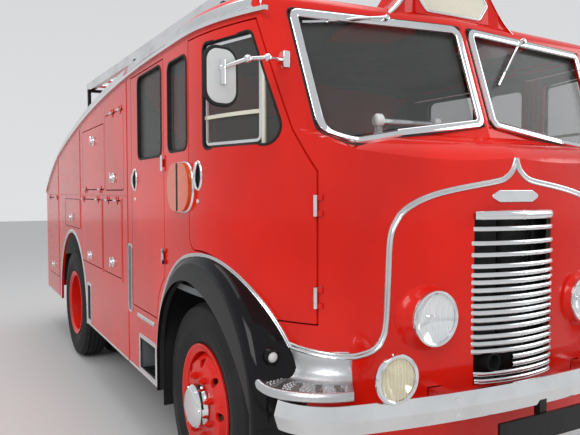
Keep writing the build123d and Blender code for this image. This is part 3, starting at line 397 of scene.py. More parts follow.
class Build:
    """Points and faces of one piece, added shape by shape."""

    def __init__(self):
        self.points, self.faces = [], []

    def add(self, points, faces):
        first = len(self.points)
        self.points += [Vector(p) for p in points]
        self.faces += [tuple(i + first for i in f) for f in faces]
        return self

    def rings(self, rings, closed_path=False, caps=True):
        """Skin over a run of equal rings of points."""
        n = len(rings[0])
        faces = []
        runs = len(rings) if closed_path else len(rings) - 1
        for i in range(runs):
            j = (i + 1) % len(rings)
            faces += [(i * n + k, i * n + (k + 1) % n, j * n + (k + 1) % n, j * n + k) for k in range(n)]
        if caps and not closed_path:
            faces += [tuple(range(n))[::-1], tuple(range((len(rings) - 1) * n, len(rings) * n))]
        return self.add([p for ring in rings for p in ring], faces)

    def box(self, low, high):
        """A box between two corners."""
        (x0, y0, z0), (x1, y1, z1) = low, high
        return self.add([(x0, y0, z0), (x1, y0, z0), (x1, y1, z0), (x0, y1, z0),
                         (x0, y0, z1), (x1, y0, z1), (x1, y1, z1), (x0, y1, z1)], BOX_FACES)

    def sweep(self, path, outs, profile, closed=False):
        """A section of (across, outwards) pairs along a path; outs are the surface's outward directions."""
        rings = []
        for i, (p, out) in enumerate(zip(path, outs)):
            ahead = path[(i + 1) % len(path)] if closed or i + 1 < len(path) else p
            behind = path[i - 1] if closed or i else p
            along = (ahead - behind).normalized()
            across = out.cross(along).normalized()
            rings.append([p + across * a + out * o for a, o in profile])
        return self.rings(rings, closed)

    def tube(self, path, radius, sides=12, closed=False):
        """A round bar along a path, of one radius or one for each point."""
        radii = radius if isinstance(radius, (list, tuple)) else [radius] * len(path)
        rings, side = [], None
        for i, p in enumerate(path):
            ahead = path[(i + 1) % len(path)] if closed or i + 1 < len(path) else p
            behind = path[i - 1] if closed or i else p
            along = (ahead - behind).normalized()
            if side is None:
                side = along.orthogonal().normalized()
            side = (side - along * side.dot(along)).normalized()
            other = along.cross(side)
            angles = [2 * pi * k / sides for k in range(sides)]
            rings.append([p + (side * cos(a) + other * sin(a)) * radii[i] for a in angles])
        return self.rings(rings, closed)

    def lathe(self, profile, centre, axis, steps=48):
        """Ring of (along the axis, radius) pairs, closed on itself; a radius of 0 makes a pole."""
        axis = Vector(axis).normalized()
        side = axis.orthogonal().normalized()
        other = axis.cross(side)
        rays = [side * cos(2 * pi * k / steps) + other * sin(2 * pi * k / steps) for k in range(steps)]
        ends = []
        for along, radius in profile:
            if radius < 1e-6:
                ends.append([len(self.points)] * steps)
                self.points.append(Vector(centre) + axis * along)
                continue
            ends.append(list(range(len(self.points), len(self.points) + steps)))
            self.points += [Vector(centre) + axis * along + ray * radius for ray in rays]
        for low, high in zip(ends, ends[1:] + ends[:1]):
            for k in range(steps):
                corners = dict.fromkeys((low[k], low[(k + 1) % steps], high[(k + 1) % steps], high[k]))
                if len(corners) > 2:
                    self.faces.append(tuple(corners))
        return self

    def mirrored(self):
        """The same on the other side of the middle."""
        twin = Build()
        twin.points = [Vector((-p.x, p.y, p.z)) for p in self.points]
        twin.faces = [tuple(reversed(f)) for f in self.faces]
        return twin

    def join(self, other):
        return self.add(other.points, other.faces)

    def pair(self):
        """This and its mirror image together."""
        return self.join(self.mirrored())

    def piece(self, name, finish, body, slot=None, angle=35, bevel=0.0):
        """A finished object of these points and faces."""
        mesh = bpy.data.meshes.new(name)
        mesh.from_pydata([tuple(p) for p in self.points], [], self.faces)
        mesh.validate()
        outwards(mesh)
        return dressed(name, mesh, finish, body, angle, bevel)


def outwards(mesh):
    """Merges doubled points and turns every face outwards."""
    bm = bmesh.new()
    bm.from_mesh(mesh)
    bmesh.ops.remove_doubles(bm, verts=bm.verts, dist=1e-6)
    bmesh.ops.recalc_face_normals(bm, faces=bm.faces)
    bm.to_mesh(mesh)
    bm.free()


def dressed(name, mesh, finish, body, angle=35, bevel=0.0):
    """A finished object from a mesh, riding on its body."""
    mesh.materials.clear()
    mesh.materials.append(FINISHES[finish])
    mesh.polygons.foreach_set("use_smooth", [True] * len(mesh.polygons))
    mesh.set_sharp_from_angle(angle=radians(angle))
    piece = bpy.data.objects.new(name, mesh)
    bpy.context.scene.collection.objects.link(piece)
    if bevel:
        edge = piece.modifiers.new("soft edges", "BEVEL")
        edge.width, edge.segments, edge.limit_method = bevel, 2, "ANGLE"
    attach(piece, body)
    return piece


def tree_over(*names):
    """Nearest-surface finder over CAD nodes."""
    points, faces = [], []
    for name in names:
        mesh = NODES[name].data
        first = len(points)
        points += [v.co.copy() for v in mesh.vertices]
        faces += [tuple(i + first for i in p.vertices) for p in mesh.polygons]
    return BVHTree.FromPolygons(points, faces)


AHEAD_Y, AHEAD_SIGHT = -4.0, 3      # a place well ahead of the nose, and how far is seen from it


def on_front(tree, x, z):
    """Point and outward direction of the front at a height, found from ahead."""
    hit, normal, _, _ = tree.ray_cast(Vector((x, AHEAD_Y, z)), Vector((0, 1, 0)), AHEAD_SIGHT)
    if hit is None:
        raise RuntimeError(f"nothing ahead at {x}, {z}")
    return hit, normal if normal.y < 0 else -normal


def smooth_run(points, steps):
    """Even points along a smooth line through a few."""
    result = []
    ends = [points[0] * 2 - points[1]] + list(points) + [points[-1] * 2 - points[-2]]
    for a, b, c, d in zip(ends, ends[1:], ends[2:], ends[3:]):
        for k in range(steps):
            t = k / steps
            bend, twist = 2 * a - 5 * b + 4 * c - d, 3 * b - a - 3 * c + d
            result.append(0.5 * (2 * b + (c - a) * t + bend * t * t + twist * t ** 3))
    return result + [points[-1]]


def rounded_loop(corners, radii, steps=6):
    """Closed run of (y, z) points round a polygon with rounded corners."""
    loop = []
    n = len(corners)
    for i, (corner, r) in enumerate(zip(corners, radii)):
        p, a, b = (Vector(q) for q in (corner, corners[i - 1], corners[(i + 1) % n]))
        u, v = (a - p).normalized(), (b - p).normalized()
        half = u.angle(v) / 2
        centre = p + (u + v).normalized() * (r / sin(half))
        back = r / (sin(half) / cos(half))
        first, last = p + u * back - centre, p + v * back - centre
        loop += [centre + first.slerp(last, k / steps) * r for k in range(steps + 1)]
    return loop


def inset(corners, width):
    """The polygon moved inwards by a width, its corners given clockwise or not."""
    points = [Vector(c) for c in corners]
    area = sum(a.x * b.y - b.x * a.y for a, b in zip(points, points[1:] + points[:1]))
    turn = 1 if area > 0 else -1
    result = []
    for i, p in enumerate(points):
        back, ahead = (p - points[i - 1]).normalized(), (points[(i + 1) % len(points)] - p).normalized()
        n0, n1 = Vector((-back.y, back.x)) * turn, Vector((-ahead.y, ahead.x)) * turn
        result.append(p + (n0 + n1) * (width / (1 + n0.dot(n1))))
    return result


def box_loop(y0, y1, z0, z1, r):
    """Closed run round a box with rounded corners."""
    return rounded_loop([(y0, z0), (y1, z0), (y1, z1), (y0, z1)], [r] * 4)


def straight(start, end, steps):
    """Even run of pairs from one to another."""
    return [tuple(a + (b - a) * k / steps for a, b in zip(start, end)) for k in range(steps + 1)]


def along_flank(run, side, proud=0.0):
    """Points and outward directions on the flank for a run of (y, z)."""
    return [flank_point(y, z, side, proud) for y, z in run], [flank_out(y, side) for y, z in run]


def round_flank(loop, side, proud=0.0):
    """As along_flank, for a closed loop that goes the same way round on both sides, seen from outside."""
    path, outs = along_flank(loop, side, proud)
    return (path[::-1], outs[::-1]) if side > 0 else (path, outs)


def evened(outs, reach, closed=False):
    """Directions averaged with their neighbours on both sides."""
    n = len(outs)
    if closed:
        spans = [[outs[(i + k) % n] for k in range(-reach, reach + 1)] for i in range(n)]
    else:
        spans = [outs[max(0, i - reach):i + reach + 1] for i in range(n)]
    return [sum(span, Vector()).normalized() for span in spans]


HALF_ROUND = [(-1, 0), (-0.8, 0.55), (-0.4, 0.9), (0, 1), (0.4, 0.9), (0.8, 0.55), (1, 0), (0, -0.4)]
DOUBLE_RIDGE = [(-1, -0.3), (-1, 0.25), (-0.82, 0.8), (-0.55, 1), (-0.28, 0.75), (-0.1, 0.35), (0.1, 0.35),
                (0.28, 0.75), (0.55, 1), (0.82, 0.8), (1, 0.25), (1, -0.3)]


def section(shape, half, height):
    """A unit section widened to a half width and a height."""
    return [(a * half, o * height) for a, o in shape]


def flat_bar(half, low, high):
    """Section of a flat strip between two heights above the surface."""
    return [(-half, low), (-half, high), (half, high), (half, low)]


def setting_out():
    """Geometry nodes that set a small piece on each point, its z and x along the directions kept there."""
    tree = bpy.data.node_groups.get("Set out") or bpy.data.node_groups.new("Set out", "GeometryNodeTree")
    if tree.nodes:
        return tree
    face = tree.interface
    face.new_socket("Places", in_out="INPUT", socket_type="NodeSocketGeometry")
    face.new_socket("Piece", in_out="INPUT", socket_type="NodeSocketObject")
    face.new_socket("Scale", in_out="INPUT", socket_type="NodeSocketFloat").default_value = 1
    face.new_socket("Seed", in_out="INPUT", socket_type="NodeSocketInt").default_value = 7
    face.new_socket("Unevenness", in_out="INPUT", socket_type="NodeSocketFloat").default_value = 0
    face.new_socket("Material", in_out="INPUT", socket_type="NodeSocketMaterial")
    face.new_socket("Geometry", in_out="OUTPUT", socket_type="NodeSocketGeometry")
    new, link = tree.nodes.new, tree.links.new
    given, result = new("NodeGroupInput"), new("NodeGroupOutput")
    piece = new("GeometryNodeObjectInfo")
    piece.transform_space = "ORIGINAL"
    link(given.outputs["Piece"], piece.inputs["Object"])
    turns = []
    for name, axis, pivot in (("out", "Z", "AUTO"), ("along", "X", "Z")):
        attribute = new("GeometryNodeInputNamedAttribute")
        attribute.data_type = "FLOAT_VECTOR"
        attribute.inputs["Name"].default_value = name
        turn = new("FunctionNodeAlignRotationToVector")
        turn.axis, turn.pivot_axis = axis, pivot
        link(attribute.outputs["Attribute"], turn.inputs["Vector"])
        if turns:
            link(turns[-1].outputs["Rotation"], turn.inputs["Rotation"])
        turns.append(turn)
    random = new("FunctionNodeRandomValue")
    random.data_type = "FLOAT"
    random.inputs["Min"].default_value, random.inputs["Max"].default_value = -1, 1
    link(given.outputs["Seed"], random.inputs["Seed"])
    uneven, size = new("ShaderNodeMath"), new("ShaderNodeMath")
    uneven.operation, size.operation = "MULTIPLY_ADD", "MULTIPLY"
    link(random.outputs["Value"], uneven.inputs[0])
    link(given.outputs["Unevenness"], uneven.inputs[1])
    uneven.inputs[2].default_value = 1
    link(uneven.outputs[0], size.inputs[0])
    link(given.outputs["Scale"], size.inputs[1])
    instance = new("GeometryNodeInstanceOnPoints")
    link(given.outputs["Places"], instance.inputs["Points"])
    link(piece.outputs["Geometry"], instance.inputs["Instance"])
    link(turns[-1].outputs["Rotation"], instance.inputs["Rotation"])
    link(size.outputs[0], instance.inputs["Scale"])
    realized, material = new("GeometryNodeRealizeInstances"), new("GeometryNodeSetMaterial")
    link(instance.outputs["Instances"], realized.inputs["Geometry"])
    link(realized.outputs["Geometry"], material.inputs["Geometry"])
    link(given.outputs["Material"], material.inputs["Material"])
    link(material.outputs["Geometry"], result.inputs["Geometry"])
    return tree


def set_out(name, places, unit, finish, body, unevenness=0.0, angle=35):
    """Repeats a small shape at places of (point, out, along) and makes one plain mesh of them."""
    mesh = bpy.data.meshes.new(name + "_places")
    mesh.from_pydata([tuple(p) for p, _, _ in places], [], [])
    for attribute, k in (("out", 1), ("along", 2)):
        data = mesh.attributes.new(attribute, "FLOAT_VECTOR", "POINT")
        data.data.foreach_set("vector", [c for place in places for c in place[k]])
    holder = bpy.data.objects.new(name + "_places", mesh)
    shape = bpy.data.meshes.new(name + "_unit")
    shape.from_pydata([tuple(p) for p in unit.points], [], unit.faces)
    outwards(shape)
    sample = bpy.data.objects.new(name + "_unit", shape)
    for o in (holder, sample):
        bpy.context.scene.collection.objects.link(o)
    modifier = holder.modifiers.new("set out", "NODES")
    modifier.node_group = setting_out()
    values = {"Piece": sample, "Scale": 1.0, "Seed": 7, "Unevenness": unevenness,
              "Material": FINISHES[finish]}
    for item in modifier.node_group.interface.items_tree:
        if item.item_type == "SOCKET" and item.in_out == "INPUT" and item.name in values:
            modifier[item.identifier] = values[item.name]
    graph = bpy.context.evaluated_depsgraph_get()
    made = bpy.data.meshes.new_from_object(holder.evaluated_get(graph), depsgraph=graph)
    for o in (holder, sample):
        bpy.data.objects.remove(o)
    made.name = name
    return dressed(name, made, finish, body, angle)


def dome(radius, height, sides=12):
    """A low round head, its foot at the origin."""
    profile = [(-0.001, 0), (-0.001, radius), (height * 0.5, radius * 0.92), (height, radius * 0.5),
               (height * 1.15, 0)]
    return Build().lathe(profile, (0, 0, 0), (0, 0, 1), sides)


def screws_along(path, outs, spacing):
    """Places of screws at even distances along a run on a surface."""
    places, carried = [], spacing / 2
    for p, q, out in zip(path, path[1:], outs):
        step = q - p
        while carried <= step.length:
            places.append((p + step.normalized() * carried, out, step.normalized()))
            carried += spacing
        carried -= step.length
    return places


# crown of the front wing in side view, as in the part's source: a leg behind the wheel, then two arcs
WING_ARC, WING_NOSE_ARC = ((-0.175, 0.592), 0.615), ((-0.175, 0.580), 0.627)
CROWN_HALF, CROWN_ROUND = 1.145, 0.055


def crown_run(foot, last, steps, grow=0.0):
    """Run of (y, z) along the wing's crown where it meets the flank, up from its foot behind the wheel."""
    (leg_y, leg_z), leg_r = WING_ARC
    run = [(leg_y + leg_r + grow, foot + (leg_z - foot) * k / 6) for k in range(6)]
    for k in range(steps + 1):
        a = radians(last * k / steps)
        (y, z), radius = WING_ARC if a < pi / 2 else WING_NOSE_ARC
        stand = CROWN_HALF - half_width(y + radius * cos(a))
        sunk = CROWN_ROUND - sqrt(CROWN_ROUND ** 2 - (CROWN_ROUND - stand) ** 2) if stand < CROWN_ROUND else 0
        radius += grow - sunk
        run.append((y + radius * cos(a), z + radius * sin(a)))
    return run


def repaint(name, finish, chosen):
    """A second finish on the faces of a CAD node that a test picks by centre and normal."""
    mesh = NODES[name].data
    mesh.materials.append(FINISHES[finish])
    slot = len(mesh.materials) - 1
    for face in mesh.polygons:
        if chosen(face.center, face.normal):
            face.material_index = slot


HINGE_PROUD = 0.0048        # a hinge stands out from the flank more than this, a door or lid less
HINGE_X, HINGE_Y, HINGE_Z = 0.8, -0.86, 2.05    # hinges lie further out and back than these, and lower
# the cab's room by its rear and its floor, and the shortest and longest sight across it
ROOM_REAR_Y, ROOM_FLOOR_Z, ROOM_NEAR, ROOM_FAR = 1.2, 1.05, 0.06, 3.5
# a front arch by its inner x, y from and to, and head, with the height that its faces look at
ARCH_ROOM, ARCH_MIDDLE_Z = (0.74, -0.83, 0.425, 1.18), 0.6
# a step's inside by how far it lies in from the flank, and by how much its opening is taken wide
RECESS_NEAR, RECESS_DEEP, RECESS_EASE = 0.004, 0.18, 0.01


def on_hinge(c, n):
    """Barrels and leaves that stand proud of the flank."""
    y = c.y + DATUM
    if abs(c.x) <= HINGE_X or y <= HINGE_Y or c.z >= HINGE_Z:
        return False
    return (abs(c.x) - half_width(y)) * flank_out(y, 1).x > HINGE_PROUD


def cab_insides():
    """A test for faces of the cab that look across its room."""
    tree = tree_over("cab_shell", "cab_floor", "rear_body", *DOORS)

    def inside(c, n):
        hit, _, _, far = tree.ray_cast(c + n * 0.004, n, ROOM_FAR)
        return hit is not None and far > ROOM_NEAR and c.z > ROOM_FLOOR_Z and c.y + DATUM < ROOM_REAR_Y
    return inside


def in_front_arch(c, n):
    """Faces of the shell that look down into a front wheel's arch."""
    y = c.y + DATUM
    x0, y0, y1, z1 = ARCH_ROOM
    if abs(c.x) <= x0 or not y0 < y < y1 or c.z >= z1:
        return False
    return n.dot(Vector((0, FRONT_AXLE[0] - y, ARCH_MIDDLE_Z - c.z))) > 0.05 and abs(n.x) < 0.8


def in_recess(c, n):
    """Faces inside the step openings of the skirt."""
    y = c.y + DATUM
    if not RECESS_NEAR < half_width(y) - abs(c.x) < RECESS_DEEP:
        return False
    return any(y0 - RECESS_EASE < y < y1 + RECESS_EASE and z0 - RECESS_EASE < c.z < z1 + RECESS_EASE
               for y0, y1, z0, z1 in SKIRT_STEPS)


class ENGINE_OT_finishes(bpy.types.Operator):
    """Give every CAD node its finish"""
    bl_idname = "engine.finishes"
    bl_label = "Finishes"

    def execute(self, context):
        make_finishes(context.scene.engine_colours)
        slots = {row["node"]: row["material_slot"] for row in frame["record"]["subparts"]}
        for name, node in NODES.items():
            node.data.materials.clear()
            node.data.materials.append(FINISHES[slots[name]])
        NODES["rear_step"].data.materials[0] = FINISHES["tread_plate"]
        NODES["sign_box"].data.materials[0] = FINISHES["red_paint"]
        NODES["number_plates"].data.materials[0] = FINISHES["plate_black"]
        for name, slot in slots.items():
            if slot == "red_paint":
                repaint(name, "chrome", on_hinge)
        cab_inside = cab_insides()
        for name in ("cab_shell", *DOORS):
            repaint(name, "lining", cab_inside)
        repaint("cab_shell", "under_paint", in_front_arch)
        for name in ("cab_shell", "rear_body"):
            repaint(name, "grey_paint", in_recess)
        repaint("side_lamps", "red_lens", lambda c, n: c.y > 1)
        return {"FINISHED"}


# half of a tyre's side wall as (inwards from its side, radius), and the grooves as (across, half width)
SIDE_WALL = [(0.041, BEAD_R), (0.038, 0.268), (0.026, 0.276), (0.020, 0.292), (0.011, 0.318), (0.004, 0.345),
             (0.0015, 0.352), (0.0005, 0.366), (0.0035, 0.380), (0.0045, 0.384), (0.0045, 0.404),
             (0.0075, 0.408), (0.013, 0.446), (0.019, 0.458)]
GROOVES = [(-0.0555, 0.0085), (-0.0185, 0.0075), (0.0185, 0.0075), (0.0555, 0.0085)]
TREAD_EDGE, SHOULDER_R, TREAD_CROWN = TYRE_W / 2 - 0.032, 0.4655, 0.008
# a shoulder block's foot and face as (half length, half width, height), and where it stands
BLOCK_FOOT, BLOCK_FACE = (0.0145, 0.009, -0.006), (0.012, 0.0075, 0.0015)
BLOCK_OUT, BLOCK_R, BLOCK_LEAN = 0.0895, 0.4605, 0.62


def wheel_ray(a):
    """Direction at an angle in a wheel's plane."""
    return Vector((0, cos(a), sin(a)))


def tyre_shape(depth, x, y, side):
    """A ribbed tyre with a moulded shoulder, on its axle's line."""
    wall = [(TYRE_W / 2 - inwards, radius) for inwards, radius in SIDE_WALL]
    crown = [(TREAD_EDGE, SHOULDER_R)]
    for centre, half in reversed(GROOVES):
        top = TYRE_R - TREAD_CROWN * (abs(centre) / TREAD_EDGE) ** 2
        crown += [(centre + half, top), (centre + half * 0.7, top - depth)]
        crown += [(centre - half * 0.7, top - depth), (centre - half, top)]
    crown.append((-TREAD_EDGE, SHOULDER_R))
    profile = wall + crown + [(-a, r) for a, r in reversed(wall)]
    return Build().lathe(profile, at(side * x, y, TYRE_R), (side, 0, 0), 120)


def shoulder_block():
    """One block of the tread's shoulder, narrower at its face."""
    corners = [(-1, -1), (1, -1), (1, 1), (-1, 1)]
    points = [(a * length, b * width, z) for length, width, z in (BLOCK_FOOT, BLOCK_FACE) for a, b in corners]
    return Build().add(points, BOX_FACES)


def tyre_places(x, y, side, count):
    """Places of the shoulder blocks round both edges of a tread."""
    places = []
    for edge in (-1, 1):
        for k in range(count):
            a = 2 * pi * (k + (0.5 if edge > 0 else 0)) / count
            ray = wheel_ray(a)
            out = (ray + Vector((edge * BLOCK_LEAN, 0, 0))).normalized()
            centre = at(side * x + edge * BLOCK_OUT, y, TYRE_R)
            places.append((centre + ray * BLOCK_R, out, Vector((0, -sin(a), cos(a)))))
    return places


class ENGINE_OT_tyres(bpy.types.Operator):
    """Replace the plain tyres with ribbed ones"""
    bl_idname = "engine.tyres"
    bl_label = "Tyres"

    def execute(self, context):
        sizes = context.scene.engine_sizes
        depth, count = sizes.tread_depth, sizes.tread_blocks
        block = shoulder_block()
        for letter, side in SIDES:
            body = f"front_wheel_{letter}"
            front = tyre_shape(depth, FRONT_X, FRONT_AXLE[0], side)
            ribbed = front.piece(f"front_tyre_ribbed_{letter}", "tyre_rubber", body, angle=40)
            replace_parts(ribbed, f"front_tyre_{letter}")
            places = tyre_places(FRONT_X, FRONT_AXLE[0], side, count)
            set_out(f"front_tyre_blocks_{letter}", places, block, "tyre_rubber", body)
            body = f"rear_wheels_{letter}"
            rear, places = Build(), []
            for x in REAR_X:
                rear.join(tyre_shape(depth, x, REAR_AXLE[0], side))
                places += tyre_places(x, REAR_AXLE[0], side, count)
            ribbed = rear.piece(f"rear_tyres_ribbed_{letter}", "tyre_rubber", body, angle=40)
            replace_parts(ribbed, f"rear_tyres_{letter}")
            set_out(f"rear_tyre_blocks_{letter}", places, block, "tyre_rubber", body)
        return {"FINISHED"}


# wheel fittings as (along the axle, radius)
NUT = [(0, 0), (0, 0.0165), (0.018, 0.0165), (0.021, 0.013), (0.021, 0.008), (0.034, 0.008), (0.036, 0)]
HUB_CAP = [(0.116, 0.098), (0.116, 0.106), (0.121, 0.106), (0.126, 0.1025), (0.150, 0.1005), (0.160, 0.092),
           (0.1695, 0.0765), (0.1722, 0.060), (0.1724, 0), (0.1719, 0), (0.1715, 0.058), (0.1685, 0.0755),
           (0.1505, 0.0985)]
NUTS, NUT_CIRCLE = 8, 0.1375
HUB_SCREWS, HUB_SCREW_CIRCLE, HUB_SCREW_OUT, HUB_SCREW_R = 6, 0.0925, 0.1595, 0.0065
# middle of the wheel's disc and how far out from it the nuts stand
FRONT_DISC, REAR_DISC = (FRONT_X, 0.112), (0.816, 0.012)


class ENGINE_OT_wheels(bpy.types.Operator):
    """Wheel nuts, hub caps and their screws"""
    bl_idname = "engine.wheels"
    bl_label = "Wheel fittings"

    def execute(self, context):
        nut = Build().lathe(NUT, (0, 0, 0), (0, 0, 1), 6)
        for letter, side in SIDES:
            axis = Vector((side, 0, 0))
            for body, y, (x, out) in ((f"front_wheel_{letter}", FRONT_AXLE[0], FRONT_DISC),
                                      (f"rear_wheels_{letter}", REAR_AXLE[0], REAR_DISC)):
                places = []
                for k in range(NUTS):
                    ray = wheel_ray(2 * pi * (k + 0.5) / NUTS)
                    places.append((at(side * (x + out), y, TYRE_R) + ray * NUT_CIRCLE, axis, ray))
                set_out(f"nuts_{body}", places, nut, "wheel_red", body, angle=30)
            cap = Build().lathe(HUB_CAP, at(side * FRONT_X, FRONT_AXLE[0], TYRE_R), axis, 48)
            cap.piece(f"hub_cap_{letter}", "chrome", f"front_wheel_{letter}")
            places = []
            for k in range(HUB_SCREWS):
                ray = wheel_ray(2 * pi * k / HUB_SCREWS)
                seat = at(side * (FRONT_X + HUB_SCREW_OUT), FRONT_AXLE[0], TYRE_R) + ray * HUB_SCREW_CIRCLE
                places.append((seat, axis * 0.7 + ray * 0.7, ray))
            screw = dome(HUB_SCREW_R, 0.004, 6)
            set_out(f"hub_screws_{letter}", places, screw, "chrome", f"front_wheel_{letter}")
        return {"FINISHED"}


# line of the gutter in side view, and the rail's two lengths along it
GUTTER = [(-0.62, 2.196), (-0.108, 2.195), (0.35, 2.206), (0.852, 2.198), (1.512, 2.160), (2.418, 2.077),
          (3.433, 1.927), (4.095, 1.762), (4.657, 1.505)]
RAIL_LENGTHS, RAIL_LIFT, BESIDE_X = ((-0.60, 1.058), (1.070, 4.60)), 0.040, -1.6
RAIL_SECTION = [(-0.026, -0.004), (-0.026, 0.003), (-0.020, 0.0065), (-0.012, 0.004), (0.012, 0.004),
                (0.020, 0.0065), (0.026, 0.003), (0.026, -0.004)]


class ENGINE_OT_roof_edge(bpy.types.Operator):
    """Bright rail along the edge of the roof, above the gutter"""
    bl_idname = "engine.roof_edge"
    bl_label = "Roof edge"

    def execute(self, context):
        roof = tree_over("cab_shell", "rear_body")
        line = smooth_run([Vector((0, y, z)) for y, z in GUTTER], 14)
        rail = Build()
        for first, last in RAIL_LENGTHS:
            path, outs = [], []
            for p in line:
                if not first <= p.y <= last:
                    continue
                hit, normal, _, _ = roof.ray_cast(at(BESIDE_X, p.y, p.z + RAIL_LIFT), Vector((1, 0, 0)), 1.2)
                if hit is None:
                    raise RuntimeError(f"no roof beside {p.y}")
                path.append(hit)
                outs.append(normal if normal.x < 0 else -normal)
            rail.sweep(path, evened(outs, 2), RAIL_SECTION)
        rail.pair().piece("roof_edge_rail", "bright_aluminium", "body")
        return {"FINISHED"}


# the waist moulding's knots near the nose, from the wing's tip in and up to the badge
WAIST = [(-1.00, -0.712, 0.893), (-0.985, -0.79, 0.876), (-0.94, -0.87, 0.866), (-0.865, -0.955, 0.858),
         (-0.795, -1.01, 0.858), (-0.728, -1.05, 0.874), (-0.688, -1.06, 0.915), (-0.672, -1.07, 0.985),
         (-0.667, -1.08, 1.14), (-0.658, -1.08, 1.30), (-0.634, -1.09, 1.365), (-0.590, -1.09, 1.412),
         (-0.520, -1.10, 1.448), (-0.430, -1.10, 1.475), (-0.290, -1.10, 1.500), (-0.110, -1.10, 1.526),
         (-0.055, -1.10, 1.545), (-0.020, -1.08, 1.575), (0, -1.07, 1.622)]
REAR_ARCH_Z, REAR_ARCH_R = 0.450, 0.681
SKIRT_Z, SKIRT_LENGTHS = 0.424, ((0.44, 1.055), (1.07, 2.42), (3.79, 4.70))
# the front bead's foot, its last angle and how far it lies outside the wing's crown
WING_FOOT_Z, WING_END, BEAD_GROW = 0.428, 152, 0.006
BEAD_HEIGHT, SCREW_SPACING = 0.0065, 0.15


def rear_arch_run(angles):
    """Run of (y, z) round the rear arch at whole degrees."""
    return [(REAR_AXLE[0] + REAR_ARCH_R * cos(radians(a)), REAR_ARCH_Z + REAR_ARCH_R * sin(radians(a)))
            for a in angles]


class ENGINE_OT_mouldings(bpy.types.Operator):
    """Bright mouldings of the front, the arches and the skirts"""
    bl_idname = "engine.mouldings"
    bl_label = "Mouldings"

    def execute(self, context):
        sizes = context.scene.engine_sizes
        shell = tree_over("cab_shell")
        path, outs = [], []
        for guess in smooth_run([at(*knot) for knot in WAIST], 6):
            hit, normal, _, _ = shell.find_nearest(guess)
            path.append(hit)
            outs.append(normal if normal.dot(guess - hit) > 0 else -normal)
        profile = section(DOUBLE_RIDGE, sizes.moulding_width / 2, BEAD_HEIGHT)
        waist = Build().sweep(path, evened(outs, 3), profile)
        waist.pair().piece("waist_moulding", "bright_aluminium", "body")

        arches, places = Build(), []
        front_trim = section(DOUBLE_RIDGE, sizes.trim_width / 2, 0.007)
        rear_trim, skirt_trim = section(HALF_ROUND, 0.016, 0.007), section(HALF_ROUND, 0.007, 0.004)
        for _, side in SIDES:
            crown = crown_run(WING_FOOT_Z, WING_END, 60, BEAD_GROW)
            arches.sweep(*along_flank(crown, side, 0.001), front_trim)
            arches.sweep(*along_flank(rear_arch_run(range(-3, 184, 3)), side), rear_trim)
            for y0, y1 in SKIRT_LENGTHS:
                arches.sweep(*along_flank(straight((y0, SKIRT_Z), (y1, SKIRT_Z), 8), side), skirt_trim)
            points, outs = along_flank(rear_arch_run(range(0, 181, 2)), side, BEAD_HEIGHT)
            places += screws_along(points, outs, SCREW_SPACING)
        arches.piece("arch_trims", "bright_aluminium", "body")
        set_out("arch_screws", places, dome(sizes.screw_radius, 0.002, 10), "spring_steel", "body")
        return {"FINISHED"}


# outline of the off pane in front view, and how its corners are rounded
PANE = [(-0.024, 1.772), (-0.500, 1.708), (-0.859, 1.645), (-0.897, 2.226), (-0.024, 2.243)]
PANE_RADII = [0.030, 0.30, 0.105, 0.026, 0.036]
SCREEN_FRAME = [(-0.019, -0.006), (-0.019, 0.001), (-0.015, 0.005), (-0.008, 0.0075), (0, 0.0065),
                (0.006, 0.0045), (0.012, 0.004), (0.0175, 0.001), (0.0175, -0.016), (0.010, -0.016)]

WINDOWS = {
    # rounded outlines in side view
    "cab_door": ([(-0.724, 1.672), (-0.236, 1.672), (-0.236, 2.128), (-0.556, 2.128)],
                 [0.070, 0.032, 0.032, 0.032]),
    "crew_door": ([(0.345, 1.672), (0.800, 1.672), (0.800, 2.140), (0.345, 2.140)], [0.045] * 4),
    "quarter": ([(-0.055, 1.682), (0.225, 1.682), (0.225, 2.120), (-0.055, 2.120)], [0.045] * 4),
}
# section of the side windows' rubber: across in shares of its width, and height
WINDOW_RUBBER = [(-0.35, -0.018), (-0.35, 0.002), (-0.1, 0.0045), (0.5, 0.004), (0.65, 0.001), (0.65, -0.003),
                 (0.1, -0.003), (0.05, -0.018)]
WINDOW_BARS = (((-0.606, 1.672), (-0.606, 1.995)), ((-0.600, 1.806), (-0.236, 1.806)))
WINDOW_SLIDE = (-0.594, -0.254, 1.690, 2.110, 0.02)
WINDOW_BARS_DEEP, WINDOW_SLIDE_DEEP = -0.012, -0.010
# pivot and tip of each wiper in front view, how its arm thins, and the sections of its knob and blade
WIPERS = (((-0.440, 2.226), (-0.838, 2.168)), ((0.410, 2.222), (0.160, 1.975)))
WIPER_ARM = [0.0065, 0.006, 0.0055, 0.005, 0.005, 0.0045, 0.0045, 0.004]
WIPER_KNOB = [(-0.01, 0), (-0.01, 0.015), (0.028, 0.013), (0.033, 0)]
WIPER_BLADE = [(-0.003, -0.013), (-0.005, 0.004), (0.005, 0.004), (0.003, -0.013)]


